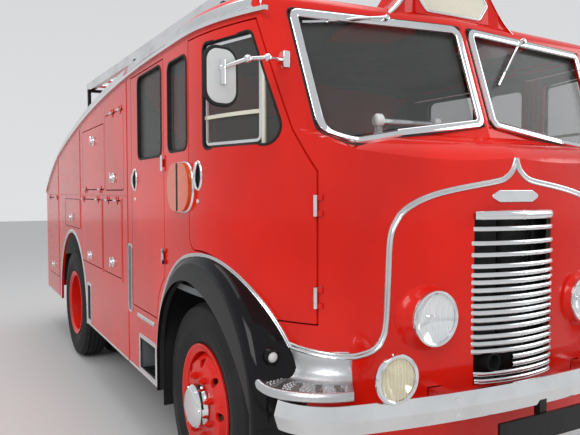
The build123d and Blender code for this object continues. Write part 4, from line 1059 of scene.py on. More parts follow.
class ENGINE_OT_windows(bpy.types.Operator):
    """Rubbers, window bars, screen frames and wipers"""
    bl_idname = "engine.windows"
    bl_label = "Windows"

    def execute(self, context):
        width = context.scene.engine_sizes.rubber_width
        rubber = [(width * across, height) for across, height in WINDOW_RUBBER]
        for letter, side in SIDES:
            for name, (corners, radii) in WINDOWS.items():
                body = "body" if name == "quarter" else f"{name}_{letter}"
                ring = Build().sweep(*round_flank(rounded_loop(corners, radii), side), rubber, closed=True)
                ring.piece(f"window_rubber_{name}_{letter}", "window_rubber", body, "tyre_rubber")
            bars = Build()
            for start, end in WINDOW_BARS:
                path, outs = along_flank(straight(start, end, 6), side, WINDOW_BARS_DEEP)
                bars.sweep(path, outs, flat_bar(0.008, -0.005, 0.006))
            bars.piece(f"window_bars_{letter}", "cream_paint", f"cab_door_{letter}")
            path, outs = round_flank(box_loop(*WINDOW_SLIDE), side, WINDOW_SLIDE_DEEP)
            slide = Build().sweep(path, outs, flat_bar(0.006, -0.004, 0.005), closed=True)
            slide.piece(f"window_slide_{letter}", "bright_aluminium", f"cab_door_{letter}")
        self.screen_frames()
        self.wipers()
        return {"FINISHED"}

    def screen_frames(self):
        """Bright frames round both panes, and the black rubber outside them."""
        front = tree_over("cab_shell", "windscreen_frames", "cab_glass")
        frames, rubbers = Build(), Build()
        bead = section(HALF_ROUND, 0.005, 0.003)
        for build, deep, profile in ((frames, 0.0155, SCREEN_FRAME), (rubbers, -0.0035, bead)):
            points, outs = [], []
            for p in rounded_loop(inset(PANE, deep), PANE_RADII, 12):
                hit, out = on_front(front, p.x, p.y)
                points.append(hit)
                outs.append(out)
            build.sweep(points, evened(outs, 2, closed=True), profile, closed=True)
        piece = frames.pair().piece("screen_frames", "chrome", "body", angle=50)
        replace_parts(piece, "windscreen_frames")
        rubbers.pair().piece("screen_rubbers", "window_rubber", "body", "tyre_rubber")

    def wipers(self):
        """Two arms from their pivots at the head of the screen, with bright blades."""
        screen = tree_over("cab_glass", "windscreen_frames")
        wipers, blades = Build(), Build()
        for pivot, tip in WIPERS:
            hold = [on_front(screen, x, z) for x, z in straight(pivot, tip, 10)]
            path = [p + out * 0.015 for p, out in hold]
            blades.sweep(path[2:], [out for _, out in hold[2:]], WIPER_BLADE)
            knob, out = hold[0]
            wipers.lathe(WIPER_KNOB, knob, out, 20)
            arm = [knob + out * 0.026] + [p + o * 0.008 for p, (_, o) in zip(path[1:8], hold[1:8])]
            wipers.tube(arm, WIPER_ARM, 10)
        wipers.piece("wiper_arms", "chrome", "body")
        blades.piece("wiper_blades", "bright_aluminium", "body")


def oval_loop(y, z, half_y, half_z, steps=28):
    """Closed run of (y, z) round an oval."""
    angles = [2 * pi * k / steps for k in range(steps)]
    return [(y + half_y * cos(a), z + half_z * sin(a)) for a in angles]


def flank_disc(build, loop, side, low, high):
    """A plate on the flank inside a loop of (y, z), between two heights above the surface."""
    rings = [[flank_point(y, z, side, lift) for y, z in loop] for lift in (low, high)]
    return build.rings(rings)


# handles by their centre in side view
DOOR_HANDLES = (("cab_door", -0.178, 1.555), ("crew_door", 0.882, 1.554))
LOCKER_HANDLES = {
    "upper_front": (1.457, 1.577),
    "upper_rear": (2.112, 1.870),
    "lower_front": (1.491, 1.004),
    "lower_middle": (2.255, 0.985),
    "lower_rear": (4.225, 0.720),
}
FIXED_PANEL_HANDLE = (3.108, 1.256)
TAIL_Y, REAR_HANDLE_Z, REAR_HANDLE_HALF = 4.72, 0.66, (0.05, 0.009)
REAR_HANDLE_BOSS = [(0, 0), (0, 0.028), (0.006, 0.026), (0.010, 0.012), (0.030, 0.010), (0.032, 0)]
LOCK, LOCK_BELOW = [(0, 0), (0, 0.011), (0.004, 0.010), (0.005, 0)], 0.115
HANDLE_PLATE = [(0, 0), (0, 0.036), (0.004, 0.034), (0.006, 0.020), (0.014, 0.013), (0.022, 0.012),
                (0.024, 0)]


def turn_handle(build, side, y, z):
    """A round plate with a handle folded down on it."""
    p, out = flank_point(y, z, side), flank_out(y, side)
    build.lathe(HANDLE_PLATE, p, out, 32)
    bar = [p + out * 0.018 + Vector((0, 0, dz)) for dz in (0.034, 0.018, -0.018, -0.034)]
    return build.tube(bar, [0.005, 0.0075, 0.0075, 0.005], 10)


class ENGINE_OT_handles(bpy.types.Operator):
    """Door handles, locker handles and locks"""
    bl_idname = "engine.handles"
    bl_label = "Handles"

    def execute(self, context):
        height = context.scene.engine_sizes.handle_height
        for letter, side in SIDES:
            for door, y, z in DOOR_HANDLES:
                self.recessed(f"{door}_{letter}", side, y, z, height)
            for name, (y, z) in LOCKER_HANDLES.items():
                body = f"locker_{name}_{letter}"
                turn_handle(Build(), side, y, z).piece(f"handle_{body}", "chrome", body)
        rear = Build().lathe(REAR_HANDLE_BOSS, at(0, TAIL_Y, REAR_HANDLE_Z), (0, 1, 0), 24)
        half, rise = REAR_HANDLE_HALF
        rear.box(at(-half, TAIL_Y + 0.022, REAR_HANDLE_Z - rise),
                 at(half, TAIL_Y + 0.034, REAR_HANDLE_Z + rise))
        rear.piece("rear_lid_handle", "chrome", "rear_lid", bevel=0.002)
        return {"FINISHED"}

    def recessed(self, body, side, y, z, height):
        """An oval bright rim, a near-black disc of painted shadow in place of the finger hole, a drop lever
        across it and a lock below.
        """
        rim = oval_loop(y, z, height * 0.30, height * 0.5)
        plate = Build().sweep(*round_flank(rim, side), section(HALF_ROUND, 0.0065, 0.006), closed=True)
        lever = [(y - 0.004, z + height * 0.47), (y - 0.003, z + 0.02), (y + 0.002, z - 0.02),
                 (y + 0.004, z - height * 0.46)]
        path, outs = along_flank(lever, side, 0.006)
        path = [p + out * lift for p, out, lift in zip(path, outs, (0, 0.010, 0.010, 0))]
        plate.tube(path, [0.006, 0.0085, 0.0085, 0.006], 12)
        plate.piece(f"handle_{body}", "chrome", body)
        # the finger hole is a flat near-black disc on the flank: painted shadow where the hollow would be in
        # shade
        hole = flank_disc(Build(), oval_loop(y, z, height * 0.27, height * 0.47), side, -0.0005, 0.0012)
        hole.piece(f"handle_hole_{body}", "shadow", body, "black_plastic")
        lock = Build().lathe(LOCK, flank_point(y, z - LOCK_BELOW, side), flank_out(y, side), 20)
        lock.piece(f"lock_{body}", "chrome", body)


# lamps by the middle of their rim's front, with its radius and the depth of the bowl
HEADLAMP, HEADLAMP_R, HEADLAMP_DEEP = (0.46, -1.003, 0.985), 0.098, 0.026
FOG_LAMP, FOG_LAMP_R, FOG_LAMP_DEEP = (0.735, -1.110, 0.812), 0.078, 0.048
GLASS_CROWN = 0.0075
FOG_STALK_Y = -1.070
FOG_STALK = ((0.712, 0.014), (0.724, 0.010), (0.745, 0.009), (0.775, 0.009))    # z, radius
SIDE_LAMP_X, SIDE_LAMP_Z, SIDE_LAMP_SUNK = 1.050, 0.852, 0.014
TAIL_LAMP_X, TAIL_LAMP_HEIGHTS = 0.9, (0.700, 0.830)
TAIL_LAMP_RIM = [(0, 0.046), (0.014, 0.056), (0, 0.060)]
# turned forms as (along, radius)
FAIRING = [(0.006, 0.113), (0.022, 0.120), (0.040, 0.129), (0.054, 0.141), (0.062, 0.154), (0.066, 0.154),
           (0.056, 0.136), (0.040, 0.123), (0.022, 0.114), (0.006, 0.108)]
FOG_BOWL = [(0.074, 0), (0.0725, 0.020), (0.067, 0.040), (0.056, 0.057), (0.036, 0.075), (0.014, 0.086),
            (0.006, 0.087), (0.006, 0.080), (0.034, 0.066), (0.052, 0.045), (0.060, 0.020), (0.061, 0)]
SIDE_LAMP_BODY = [(0.03, 0.034), (-0.024, 0.034), (-0.031, 0.030), (-0.032, 0.024), (-0.026, 0.0205),
                  (0.03, 0.0205)]
SIDE_LAMP_GLASS = [(-0.010, 0), (-0.010, 0.0205), (-0.027, 0.0203), (-0.033, 0.015), (-0.0355, 0.007),
                   (-0.036, 0)]
INDICATOR = (-0.13, 0.17, 1.39, 1.62, 0.10)
INDICATOR_BAR, INDICATOR_BAR_OUT = ((0.02, 1.392), (0.02, 1.618)), 0.026
BACKWARDS = (0, 1, 0)


class ENGINE_OT_lamps(bpy.types.Operator):
    """Reflectors, rims and glasses of the lamps"""
    bl_idname = "engine.lamps"
    bl_label = "Lamps"

    def execute(self, context):
        self.front_lamps()
        self.side_lamps()
        self.tail_lamps_and_indicators()
        return {"FINISHED"}

    def front_lamps(self):
        """Headlamps in their fairings and fog lamps on stalks."""
        rims, dishes, bulbs, glasses, fog_glasses = Build(), Build(), Build(), Build(), Build()
        fairings, bowls = Build(), Build()
        for _, side in SIDES:
            for (x, y, z), r, deep, glass in ((HEADLAMP, HEADLAMP_R, HEADLAMP_DEEP, glasses),
                                              (FOG_LAMP, FOG_LAMP_R, FOG_LAMP_DEEP, fog_glasses)):
                c = at(side * x, y, z)
                rims.lathe([(0.004, r - 0.002), (-0.007, r - 0.001), (-0.010, r + 0.004), (-0.008, r + 0.012),
                            (0.002, r + 0.016), (0.010, r + 0.015), (0.010, r + 0.002)], c, BACKWARDS, 56)
                dish = [(deep * (1 - (k / 10) ** 2), (r - 0.001) * k / 10) for k in range(11)]
                back = [(along + 0.002, radius) for along, radius in reversed(dish[:-1])]
                dishes.lathe(dish + [(0.002, r + 0.001)] + back, c, BACKWARDS, 56)
                shield = [(deep, 0), (deep, 0.011), (deep * 0.5, 0.012), (deep * 0.4, 0.009),
                          (deep * 0.36, 0)]
                bulbs.lathe(shield, c, BACKWARDS, 24)
                crown = [(-GLASS_CROWN * (1 - (k / 8) ** 2), (r - 0.002) * k / 8) for k in range(9)]
                outside = [(along - 0.001, radius) for along, radius in reversed(crown)]
                inside = [(along + 0.001, radius) for along, radius in crown[:-1]]
                glass.lathe([(0.001, r - 0.002)] + outside + inside, c, BACKWARDS, 56)
            fairings.lathe(FAIRING, at(side * HEADLAMP[0], *HEADLAMP[1:]), BACKWARDS, 56)
            bowls.lathe(FOG_BOWL, at(side * FOG_LAMP[0], *FOG_LAMP[1:]), BACKWARDS, 56)
            stalk = [at(side * FOG_LAMP[0], FOG_STALK_Y, z) for z, _ in FOG_STALK]
            bowls.tube(stalk, [radius for _, radius in FOG_STALK], 14)
        rims.piece("lamp_rims", "chrome", "body")
        dishes.piece("lamp_reflectors", "reflector", "body", "chrome")
        bulbs.piece("lamp_bulb_shields", "chrome", "body")
        fairings.piece("lamp_fairings", "red_paint", "body")
        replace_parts(bowls.piece("fog_lamp_bowls", "chrome", "body"), "front_lamps")
        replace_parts(glasses.piece("lamp_glasses", "lens_glass", "body"), "lamp_lenses")
        fog_glasses.piece("fog_lamp_glasses", "fog_glass", "body", "lens_glass")

    def side_lamps(self):
        """Small lamps on the front wings."""
        wings = tree_over("front_wings")
        markers, caps = Build(), Build()
        for _, side in SIDES:
            hit, _ = on_front(wings, side * SIDE_LAMP_X, SIDE_LAMP_Z)
            seat = hit + Vector((0, SIDE_LAMP_SUNK, 0))
            markers.lathe(SIDE_LAMP_BODY, seat, BACKWARDS, 32)
            caps.lathe(SIDE_LAMP_GLASS, seat, BACKWARDS, 32)
        markers.piece("side_lamp_bodies", "black_paint", "body")
        caps.piece("side_lamp_glasses", "white_sleeve", "body", "lens_glass")

    def tail_lamps_and_indicators(self):
        """Rims of the tail lamps and indicators, and the indicators' dark middle bars."""
        rims, bars = Build(), Build()
        for _, side in SIDES:
            for z in TAIL_LAMP_HEIGHTS:
                rims.lathe(TAIL_LAMP_RIM, at(side * TAIL_LAMP_X, TAIL_Y, z), BACKWARDS, 36)
            path, outs = round_flank(box_loop(*INDICATOR), side)
            rims.sweep(path, outs, section(HALF_ROUND, 0.007, 0.008), closed=True)
            bars.sweep(*along_flank(straight(*INDICATOR_BAR, 8), side, INDICATOR_BAR_OUT),
                       flat_bar(0.010, -0.004, 0.0015))
        rims.piece("tail_lamp_rims", "chrome", "body")
        bars.piece("indicator_bars", "window_rubber", "body", "black_plastic")


# the sign's face: foot and head of its plane, and a long hexagon round its middle
SIGN_FOOT, SIGN_HEAD = (0, -0.6045, 2.300), (0, -0.5885, 2.474)
SIGN_OUTLINE = [(-0.222, 0), (-0.165, -0.074), (0.165, -0.074), (0.222, 0), (0.165, 0.074), (-0.165, 0.074)]
HUMP_INNER_X, HUMP_REACH, HUMP_FOOT_Z, HUMP_RISE = 0.222, 0.270, 2.240, 0.239


class ENGINE_OT_sign(bpy.types.Operator):
    """Blank face and bright edge of the sign over the screen"""
    bl_idname = "engine.sign"
    bl_label = "Sign box"

    def execute(self, context):
        foot, head = at(*SIGN_FOOT), at(*SIGN_HEAD)
        up = head - foot
        out = Vector((0, -up.z, up.y)).normalized()
        centre = (foot + head) / 2 + out * 0.001
        up.normalize()
        loop = rounded_loop(SIGN_OUTLINE, [0.012, 0.03, 0.03, 0.012, 0.03, 0.03])
        points = [centre + Vector((1, 0, 0)) * a + up * b for a, b in loop]
        face = Build().rings([[p - out * 0.002 for p in points], [p + out * 0.0015 for p in points]])
        face.piece("sign_face", "cream_paint", "body")
        edge = Build().sweep(points, [out] * len(points), section(HALF_ROUND, 0.0075, 0.006), closed=True)
        edge.piece("sign_edge", "chrome", "body")
        self.cheeks()
        return {"FINISHED"}

    def cheeks(self):
        """Hollow-curved humps from the box's sides down to the roof, with a bright strip along them."""
        rings, edge = [], []
        for k in range(21):
            t = k / 20
            x, z = -HUMP_INNER_X - HUMP_REACH * t, HUMP_FOOT_Z + HUMP_RISE * (1 - t) ** 2.1
            front = -0.606 + (z - 2.296) * 0.09
            back = -0.300 - 0.12 * (1 - t)
            shape = ((front, 2.200), (front, z - 0.006), (front + 0.002, z - 0.002), (front + 0.007, z),
                     (front + 0.05, z + 0.003), (back - 0.05, z - 0.030 * (1 - t)),
                     (back, z - 0.075 * (1 - t) - 0.01), (back + 0.03, 2.200))
            rings.append([at(x, *q) for q in shape])
            edge.append(at(x, front + 0.006, z + 0.0005))
        humps = Build().rings(rings)
        outs = [Vector((-0.5, -0.35, 0.8)).normalized()] * len(edge)
        strips = Build().sweep(edge, outs, section(HALF_ROUND, 0.014, 0.007))
        humps.pair().piece("sign_cheeks", "red_paint", "body", angle=40)
        strips.pair().piece("sign_cheek_strips", "bright_aluminium", "body")


# the off mirror: middle and turn of its head, outline across and up, and its arm's joints
MIRROR_AT, MIRROR_TURN = (-1.278, -0.800, 1.888), 12
MIRROR_OUTLINE, MIRROR_ROUND = [(-0.066, -0.100), (0.066, -0.100), (0.066, 0.100), (-0.066, 0.100)], 0.050
MIRROR_JOINTS = ((-0.950, -0.662, 2.000), (-1.090, -0.797, 1.972), (-1.180, -0.815, 1.955),
                 (-1.278, -0.812, 1.915))
MIRROR_FOOT = ((-0.965, -0.690, 1.968), (-0.937, -0.655, 2.032))
MIRROR_TUBE_R, MIRROR_CLAMP_R = 0.0075, 0.011
MIRROR_KNUCKLE = [(-0.015, 0), (-0.012, 0.009), (-0.006, 0.0145), (0.006, 0.0145), (0.012, 0.009),
                  (0.015, 0)]


class ENGINE_OT_mirrors(bpy.types.Operator):
    """Rounded mirror heads with their glass and black rims, on jointed arms"""
    bl_idname = "engine.mirrors"
    bl_label = "Mirrors"

    def execute(self, context):
        turn = Matrix.Rotation(radians(MIRROR_TURN), 3, "Z")
        backs, rims, glasses, arms = Build(), Build(), Build(), Build()
        loop = rounded_loop(MIRROR_OUTLINE, [MIRROR_ROUND] * 4, 10)
        centre = at(*MIRROR_AT)
        for build, scale, low, high in ((backs, 0.94, -0.009, 0.004), (glasses, 0.93, 0.004, 0.0075)):
            layers = ((low, scale * 0.93), (low + 0.003, scale), (high, scale))
            build.rings([[centre + turn @ Vector((a * size, depth, b * size)) for a, b in loop]
                         for depth, size in layers])
        rims.tube([centre + turn @ Vector((a, 0.001, b)) for a, b in loop], MIRROR_TUBE_R, 10, closed=True)
        clamp = [centre + turn @ Vector((0, -0.014, dz)) for dz in (0.055, -0.03)]
        hold = Build().tube(clamp, MIRROR_CLAMP_R, 16)
        rims.pair().piece("mirror_rims", "window_rubber", "body", "black_plastic")
        glasses.pair().piece("mirror_glasses", "reflector", "body", "chrome")
        hold.pair().piece("mirror_clamps", "chrome", "body")
        heads = backs.pair().piece("mirror_heads", "mirror_back", "body")
        joints = [at(*joint) for joint in MIRROR_JOINTS]
        for p, q in zip(joints, joints[1:]):
            arms.tube([p, p.lerp(q, 0.5), q], MIRROR_TUBE_R, 14)
        for p in joints[1:]:
            arms.lathe(MIRROR_KNUCKLE, p, (0, 0, 1), 20)
        arms.box(*(at(*corner) for corner in MIRROR_FOOT))
        arms.pair().piece("mirror_arms", "chrome", "body", bevel=0.002)
        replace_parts(heads, "mirrors")
        return {"FINISHED"}


# the bare badge's outline about its height, and the plates' edges: x from, x to, y, z from, z to, facing
BADGE_Z = 1.462
BADGE_OUTLINE = [(-0.150, 0), (-0.10, -0.026), (0.10, -0.026), (0.150, 0), (0.10, 0.026), (-0.10, 0.026)]
PLATES = ((-0.26, 0.26, -1.1505, 0.47, 0.575, -1), (0.25, 0.61, 4.7285, 0.48, 0.59, 1))
PLATE_ROUND, PLATE_MARGIN = 0.008, 0.004
HANDLE_MOUTH_AT = (-0.150, -1.008, 0.774)
HANDLE_MOUTH = [(0.050, 0), (0.050, 0.038), (-0.006, 0.038), (-0.006, 0.030), (0.020, 0.028), (0.020, 0)]


class ENGINE_OT_front(bpy.types.Operator):
    """Bare badge, edges of both plates, and the starting handle's mouth"""
    bl_idname = "engine.front"
    bl_label = "Front fittings"

    def execute(self, context):
        nose = tree_over("cab_shell", "grille")
        outline = rounded_loop(BADGE_OUTLINE, [0.01, 0.02, 0.02, 0.01, 0.02, 0.02])
        seats = [on_front(nose, a, BADGE_Z + b) for a, b in outline]
        badge = Build().rings([[p + out * lift for p, out in seats] for lift in (-0.002, 0.006)])
        badge.piece("badge_blank", "chrome", "body", bevel=0.003)
        rim = Build()
        for x0, x1, y, z0, z1, facing in PLATES:
            loop = box_loop(x0 + PLATE_MARGIN, x1 - PLATE_MARGIN, z0 + PLATE_MARGIN, z1 - PLATE_MARGIN,
                            PLATE_ROUND)
            points = [at(a, y - 0.0025 * facing, b) for a, b in loop]
            outs = [Vector((0, facing, 0))] * len(points)
            rim.sweep(points, outs, section(HALF_ROUND, 0.0035, 0.0025), closed=True)
        rim.piece("plate_edges", "black_paint", "body")
        mouth = Build().lathe(HANDLE_MOUTH, at(*HANDLE_MOUTH_AT), BACKWARDS, 36)
        mouth.piece("starting_handle_mouth", "shadow", "body", "black_plastic")
        return {"FINISHED"}


# heights of the grille's bars under the thick head bar, and those cut short beside the handle's mouth
HEAD_BAR = 1.383
BARS = (1.328, 1.269, 1.221, 1.174, 1.138, 1.107, 1.074, 1.041, 1.010, 0.981, 0.950, 0.918, 0.882, 0.852,
        0.820, 0.788, 0.756, 0.726, 0.696)
CUT_BARS, CUT_X = (0.788, 0.756), -0.055
GRILLE_FOOT, GRILLE_HIGH, GRILLE_HALF, GRILLE_Y = 0.68, 0.72, 0.241, -1.024
GRILLE_BOW, CURL = 0.041, 0.020
# half height and half depth of the head bar and of the others, and the upright stays behind them
THICK_BAR, THIN_BAR = (0.020, 0.016), (0.0112, 0.010)
STAY_X, STAY_HALF, STAY_Y, STAY_Z = 0.100, 0.009, (-0.990, -0.978), (0.684, 1.398)


class ENGINE_OT_grille(bpy.types.Operator):
    """Rounded bars of the grille, bowed with the nose"""
    bl_idname = "engine.grille"
    bl_label = "Grille"

    def execute(self, context):
        bars, joints, backing = Build(), Build(), Build()
        for z in (HEAD_BAR, *BARS):
            rise = (z - GRILLE_FOOT) / GRILLE_HIGH
            half = 0.223 + 0.018 * min(1, 5 * rise, 6 * (1 - rise))
            thick, deep = THICK_BAR if z == HEAD_BAR else THIN_BAR
            first = CUT_X if z in CUT_BARS else -half
            shape = [(thick * cos(2 * pi * k / 14), deep * sin(2 * pi * k / 14)) for k in range(14)]
            path, outs = [], []
            for k in range(25):
                x = first + (half - first) * k / 24
                curl = max(0, abs(x) - (half - CURL)) / CURL
                path.append(at(x, GRILLE_Y + GRILLE_BOW * (x / GRILLE_HALF) ** 2 + 0.012 * curl ** 2, z))
                lean = 0.34 * x / GRILLE_HALF + 0.5 * curl * (1 if x > 0 else -1)
                outs.append(Vector((lean, -1, 0)).normalized())
            bars.sweep(path, outs, shape)
            if z not in CUT_BARS:
                joints.sweep([at(-0.004, GRILLE_Y, z), at(0.004, GRILLE_Y, z)], [Vector((0, -1, 0))] * 2,
                             [(a * 1.08, o * 1.12) for a, o in shape])
        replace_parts(bars.piece("grille_bars", "chrome", "body", angle=50), "grille")
        joints.piece("grille_joints", "bright_aluminium", "body")
        for side in (-1, 1):
            backing.box(at(side * STAY_X - STAY_HALF, STAY_Y[0], STAY_Z[0]),
                        at(side * STAY_X + STAY_HALF, STAY_Y[1], STAY_Z[1]))
        backing.piece("grille_stays", "shadow", "body", "chassis_black")
        return {"FINISHED"}


# upright beads as (y, z from, z to), the bead between the rows of lockers, and the fixed panel's outline
UPRIGHT_BEADS = ((1.0665, 0.43, 2.16), (1.212, 0.90, 1.44), (1.806, 0.90, 1.44), (2.665, 1.17, 2.0),
                 (3.865, 0.44, 1.80))
LONG_BEAD = ((1.07, 1.462), (4.70, 1.462))
FIXED_PANEL = (2.70, 3.45, 1.170, 1.420, 0.03)


class ENGINE_OT_seams(bpy.types.Operator):
    """Cover beads over the panel joints, and the fixed panel over the rear wheels"""
    bl_idname = "engine.seams"
    bl_label = "Panel seams"

    def execute(self, context):
        beads, gaps, fixed = Build(), Build(), Build()
        upright, long = section(HALF_ROUND, 0.007, 0.0035), section(HALF_ROUND, 0.006, 0.003)
        gap = flat_bar(0.0025, -0.001, 0.0008)
        for _, side in SIDES:
            for y, z0, z1 in UPRIGHT_BEADS:
                beads.sweep(*along_flank(straight((y, z0), (y, z1), 10), side), upright)
            beads.sweep(*along_flank(straight(*LONG_BEAD, 24), side), long)
            gaps.sweep(*round_flank(box_loop(*FIXED_PANEL), side), gap, closed=True)
            turn_handle(fixed, side, *FIXED_PANEL_HANDLE)
        beads.piece("panel_beads", "red_paint", "body")
        gaps.piece("fixed_panel_gap", "shadow", "body", "black_plastic")
        fixed.piece("fixed_panel_handles", "chrome", "body")
        return {"FINISHED"}


# upright grab recess in side view, the strip over the foot step, and the foot step's ribbed mat
GRAB_RECESS = (0.972, 1.052, 0.75, 1.16)
STEP_STRIP = ((0.50, 0.752), (0.85, 0.752))
MAT_INNER_X, MAT_OUTER_X, MAT_FIRST_Y, MAT_PITCH, MAT_RIBS, MAT_RIB = 0.955, 1.100, 0.50, 0.036, 9, 0.016
MAT_Z = (0.4402, 0.446)
STEP_LINING = [(-0.012, -0.004), (-0.012, 0.002), (0.014, 0.002), (0.014, 0)]


class ENGINE_OT_recesses(bpy.types.Operator):
    """Linings of the steps, grab recesses and strips on the skirt"""
    bl_idname = "engine.recesses"
    bl_label = "Step linings"

    def execute(self, context):
        lining, pockets, mats = Build(), Build(), Build()
        for _, side in SIDES:
            for opening in SKIRT_STEPS:
                lining.sweep(*round_flank(box_loop(*opening, 0.012), side), STEP_LINING, closed=True)
            path, outs = round_flank(box_loop(*GRAB_RECESS, 0.024), side)
            lining.sweep(path, outs, flat_bar(0.007, -0.002, 0.004), closed=True)
            y0, y1, z0, z1 = GRAB_RECESS
            inside = box_loop(y0 + 0.004, y1 - 0.004, z0 + 0.004, z1 - 0.004, 0.02)
            flank_disc(pockets, inside, side, -0.002, 0.0012)
            lining.sweep(*along_flank(straight(*STEP_STRIP, 8), side), section(HALF_ROUND, 0.013, 0.005))
            low_x, high_x = sorted((side * MAT_OUTER_X, side * MAT_INNER_X))
            for k in range(MAT_RIBS):
                y = MAT_FIRST_Y + MAT_PITCH * k
                mats.box(at(low_x, y, MAT_Z[0]), at(high_x, y + MAT_RIB, MAT_Z[1]))
        lining.piece("step_linings", "bright_aluminium", "body")
        pockets.piece("grab_pockets", "grey_paint", "body")
        mats.piece("step_mats", "window_rubber", "body", "black_plastic")
        return {"FINISHED"}


# the bright tube along the dash, its brackets, the instruments as (x, radius), and the steering wheel
TUBE_ENDS, TUBE_Y, TUBE_Z, TUBE_R = (-0.550, -0.240), -0.748, 1.772, 0.016
BRACKET = [(-0.020, 0), (-0.018, 0.022), (-0.010, 0.029), (0.010, 0.029), (0.018, 0.022), (0.020, 0)]
BRACKET_Z, BRACKET_HALF, BRACKET_FOOT_Y, BRACKET_FOOT_Z = 1.776, 0.012, (-0.760, -0.736), (1.690, 1.760)
INSTRUMENTS = ((-0.74, 0.052), (-0.60, 0.052), (-0.48, 0.036), (-0.38, 0.036))
INSTRUMENTS_Y, INSTRUMENTS_Z = -0.690, 1.535
STEERING_AT, STEERING_LEAN, STEERING_R = (-0.640, -0.470, 1.600), -32, 0.225
HORN_BUTTON = [(0.010, 0), (0.010, 0.040), (0.020, 0.036), (0.026, 0.018), (0.027, 0)]


# pads as ((width, depth, height), (y, z) of their middle)
FRONT_SEAT = (((0.53, 0.455, 0.125), (-0.040, 1.3875)), ((0.515, 0.455, 0.086), (0.200, 1.670)))
CREW_SEAT = (((1.95, 0.352, 0.108), (0.858, 1.235)), ((1.95, 0.425, 0.074), (0.999, 1.505)))
# x, half width of the base, cushion, squab, lean of the squab, base as (y from and to, z), sewn channels
SEATS = [(x, 0.245, *FRONT_SEAT, -8, ((-0.245, 0.205), (1.032, 1.335)), 5) for x in (-0.65, 0.65)]
SEATS.append((0, 0.975, *CREW_SEAT, 0, ((0.705, 1.034), (0.835, 1.185)), 9))


class ENGINE_OT_cab(bpy.types.Operator):
    """Seat cushions, instruments, wheel and the tube on the dash"""
    bl_idname = "engine.cab"
    bl_label = "Cab inside"

    def execute(self, context):
        self.cushions()
        self.dash()
        self.steering_wheel()
        return {"FINISHED"}

    def dash(self):
        """The bright tube in its white brackets, and the instruments under it."""
        tube, brackets, dials, faces = Build(), Build(), Build(), Build()
        first, last = TUBE_ENDS
        tube.tube([at(first + (last - first) * k / 6, TUBE_Y, TUBE_Z) for k in range(7)], TUBE_R, 20)
        for end in TUBE_ENDS:
            brackets.lathe(BRACKET, at(end, TUBE_Y, BRACKET_Z), (1, 0, 0), 24)
            brackets.box(at(end - BRACKET_HALF, BRACKET_FOOT_Y[0], BRACKET_FOOT_Z[0]),
                         at(end + BRACKET_HALF, BRACKET_FOOT_Y[1], BRACKET_FOOT_Z[1]))
        tube.piece("dash_tube", "bright_aluminium", "body")
        brackets.piece("dash_tube_brackets", "white_sleeve", "body", "cream_paint")
        for x, r in INSTRUMENTS:
            c = at(x, INSTRUMENTS_Y, INSTRUMENTS_Z)
            dials.lathe([(0, r - 0.006), (0.010, r - 0.004), (0.010, r), (0, r + 0.004)], c, BACKWARDS, 32)
            faces.lathe([(0, 0), (0, r - 0.005), (0.003, r - 0.005), (0.003, 0)], c, BACKWARDS, 32)
        dials.piece("instrument_rims", "chrome", "body")
        faces.piece("instrument_faces", "shadow", "body", "black_plastic")

    def steering_wheel(self):
        """A finger-grooved grip and the horn button."""
        centre, turn = at(*STEERING_AT), Matrix.Rotation(radians(STEERING_LEAN), 3, "X")
        angles = [2 * pi * k / 96 for k in range(96)]
        path = [centre + turn @ Vector((STEERING_R * cos(a), STEERING_R * sin(a), -0.002)) for a in angles]
        radii = [0.0143 + 0.0012 * cos(2 * pi * k / 4) for k in range(96)]
        Build().tube(path, radii, 14, closed=True).piece("steering_grip", "black_plastic", "body")
        button = Build().lathe(HORN_BUTTON, centre, turn @ Vector((0, 0, 1)), 32)
        button.piece("horn_button", "chrome", "body")

    def cushions(self):
        """Crowned squabs and cushions with sewn channels, in place of the plain blocks."""
        seats = Build()
        upright = Matrix.Rotation(radians(90), 4, "X")
        for x, half, cushion, squab, lean, base, channels in SEATS:
            size, (y, z) = cushion
            pad(seats, *size, Matrix.Translation(at(x, y, z)), channels)
            size, (y, z) = squab
            back = Matrix.Translation(at(x, y, z)) @ Matrix.Rotation(radians(lean), 4, "X")
            pad(seats, *size, back @ upright, channels)
            (y0, y1), (z0, z1) = base
            seats.box(at(x - half, y0, z0), at(x + half, y1, z1))
        piece = seats.piece("seat_cushions", "seat_leather", "body", angle=60)
        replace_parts(piece, "seats")


def pad(seats, width, depth, height, place, channels, rounding=0.035):
    """A crowned pad with rounded edges and sewn channels across its width, added to the seats."""
    across, deep = 48, 20
    top, low = [], []
    for i in range(across + 1):
        for j in range(deep + 1):
            u, v = i / across * 2 - 1, j / deep * 2 - 1
            side = min(1.0, (1 - abs(u)) * width / 2 / rounding)
            end = min(1.0, (1 - abs(v)) * depth / 2 / rounding)
            fall = sqrt(max(0.0, 1 - (1 - side) ** 2)) * sqrt(max(0.0, 1 - (1 - end) ** 2))
            sew = 0.90 + 0.10 * abs(sin(pi * channels * (u + 1) / 2)) ** 0.45
            top.append(place @ Vector((u * width / 2, v * depth / 2, height / 2 * fall * sew)))
            low.append(place @ Vector((u * width / 2, v * depth / 2, -height / 2 * fall)))
    n, row = len(top), deep + 1
    faces = []
    for i in range(across):
        for j in range(deep):
            a, b = i * row + j, (i + 1) * row + j
            faces += [(a, b, b + 1, a + 1), (a + 1 + n, b + 1 + n, b + n, a + n)]
    seats.add(top + low, faces)


# the off corner step in plan: circle of its outer edge, the y of its tip, the x of its inner end,
# and the line against the body that its sections aim at
STEP_CENTRE, STEP_R = (-0.8292, -0.7322), 0.3005
STEP_TIP_Y, STEP_END_X = -0.742, -0.868
STEP_AIM = ((-0.975, -0.730, 0), (-0.795, -0.912, 0))
TREAD_Z, UPSTAND_Z, UPSTAND_RISE, TIP_LIFT = 0.7635, 0.786, 0.088, 0.022
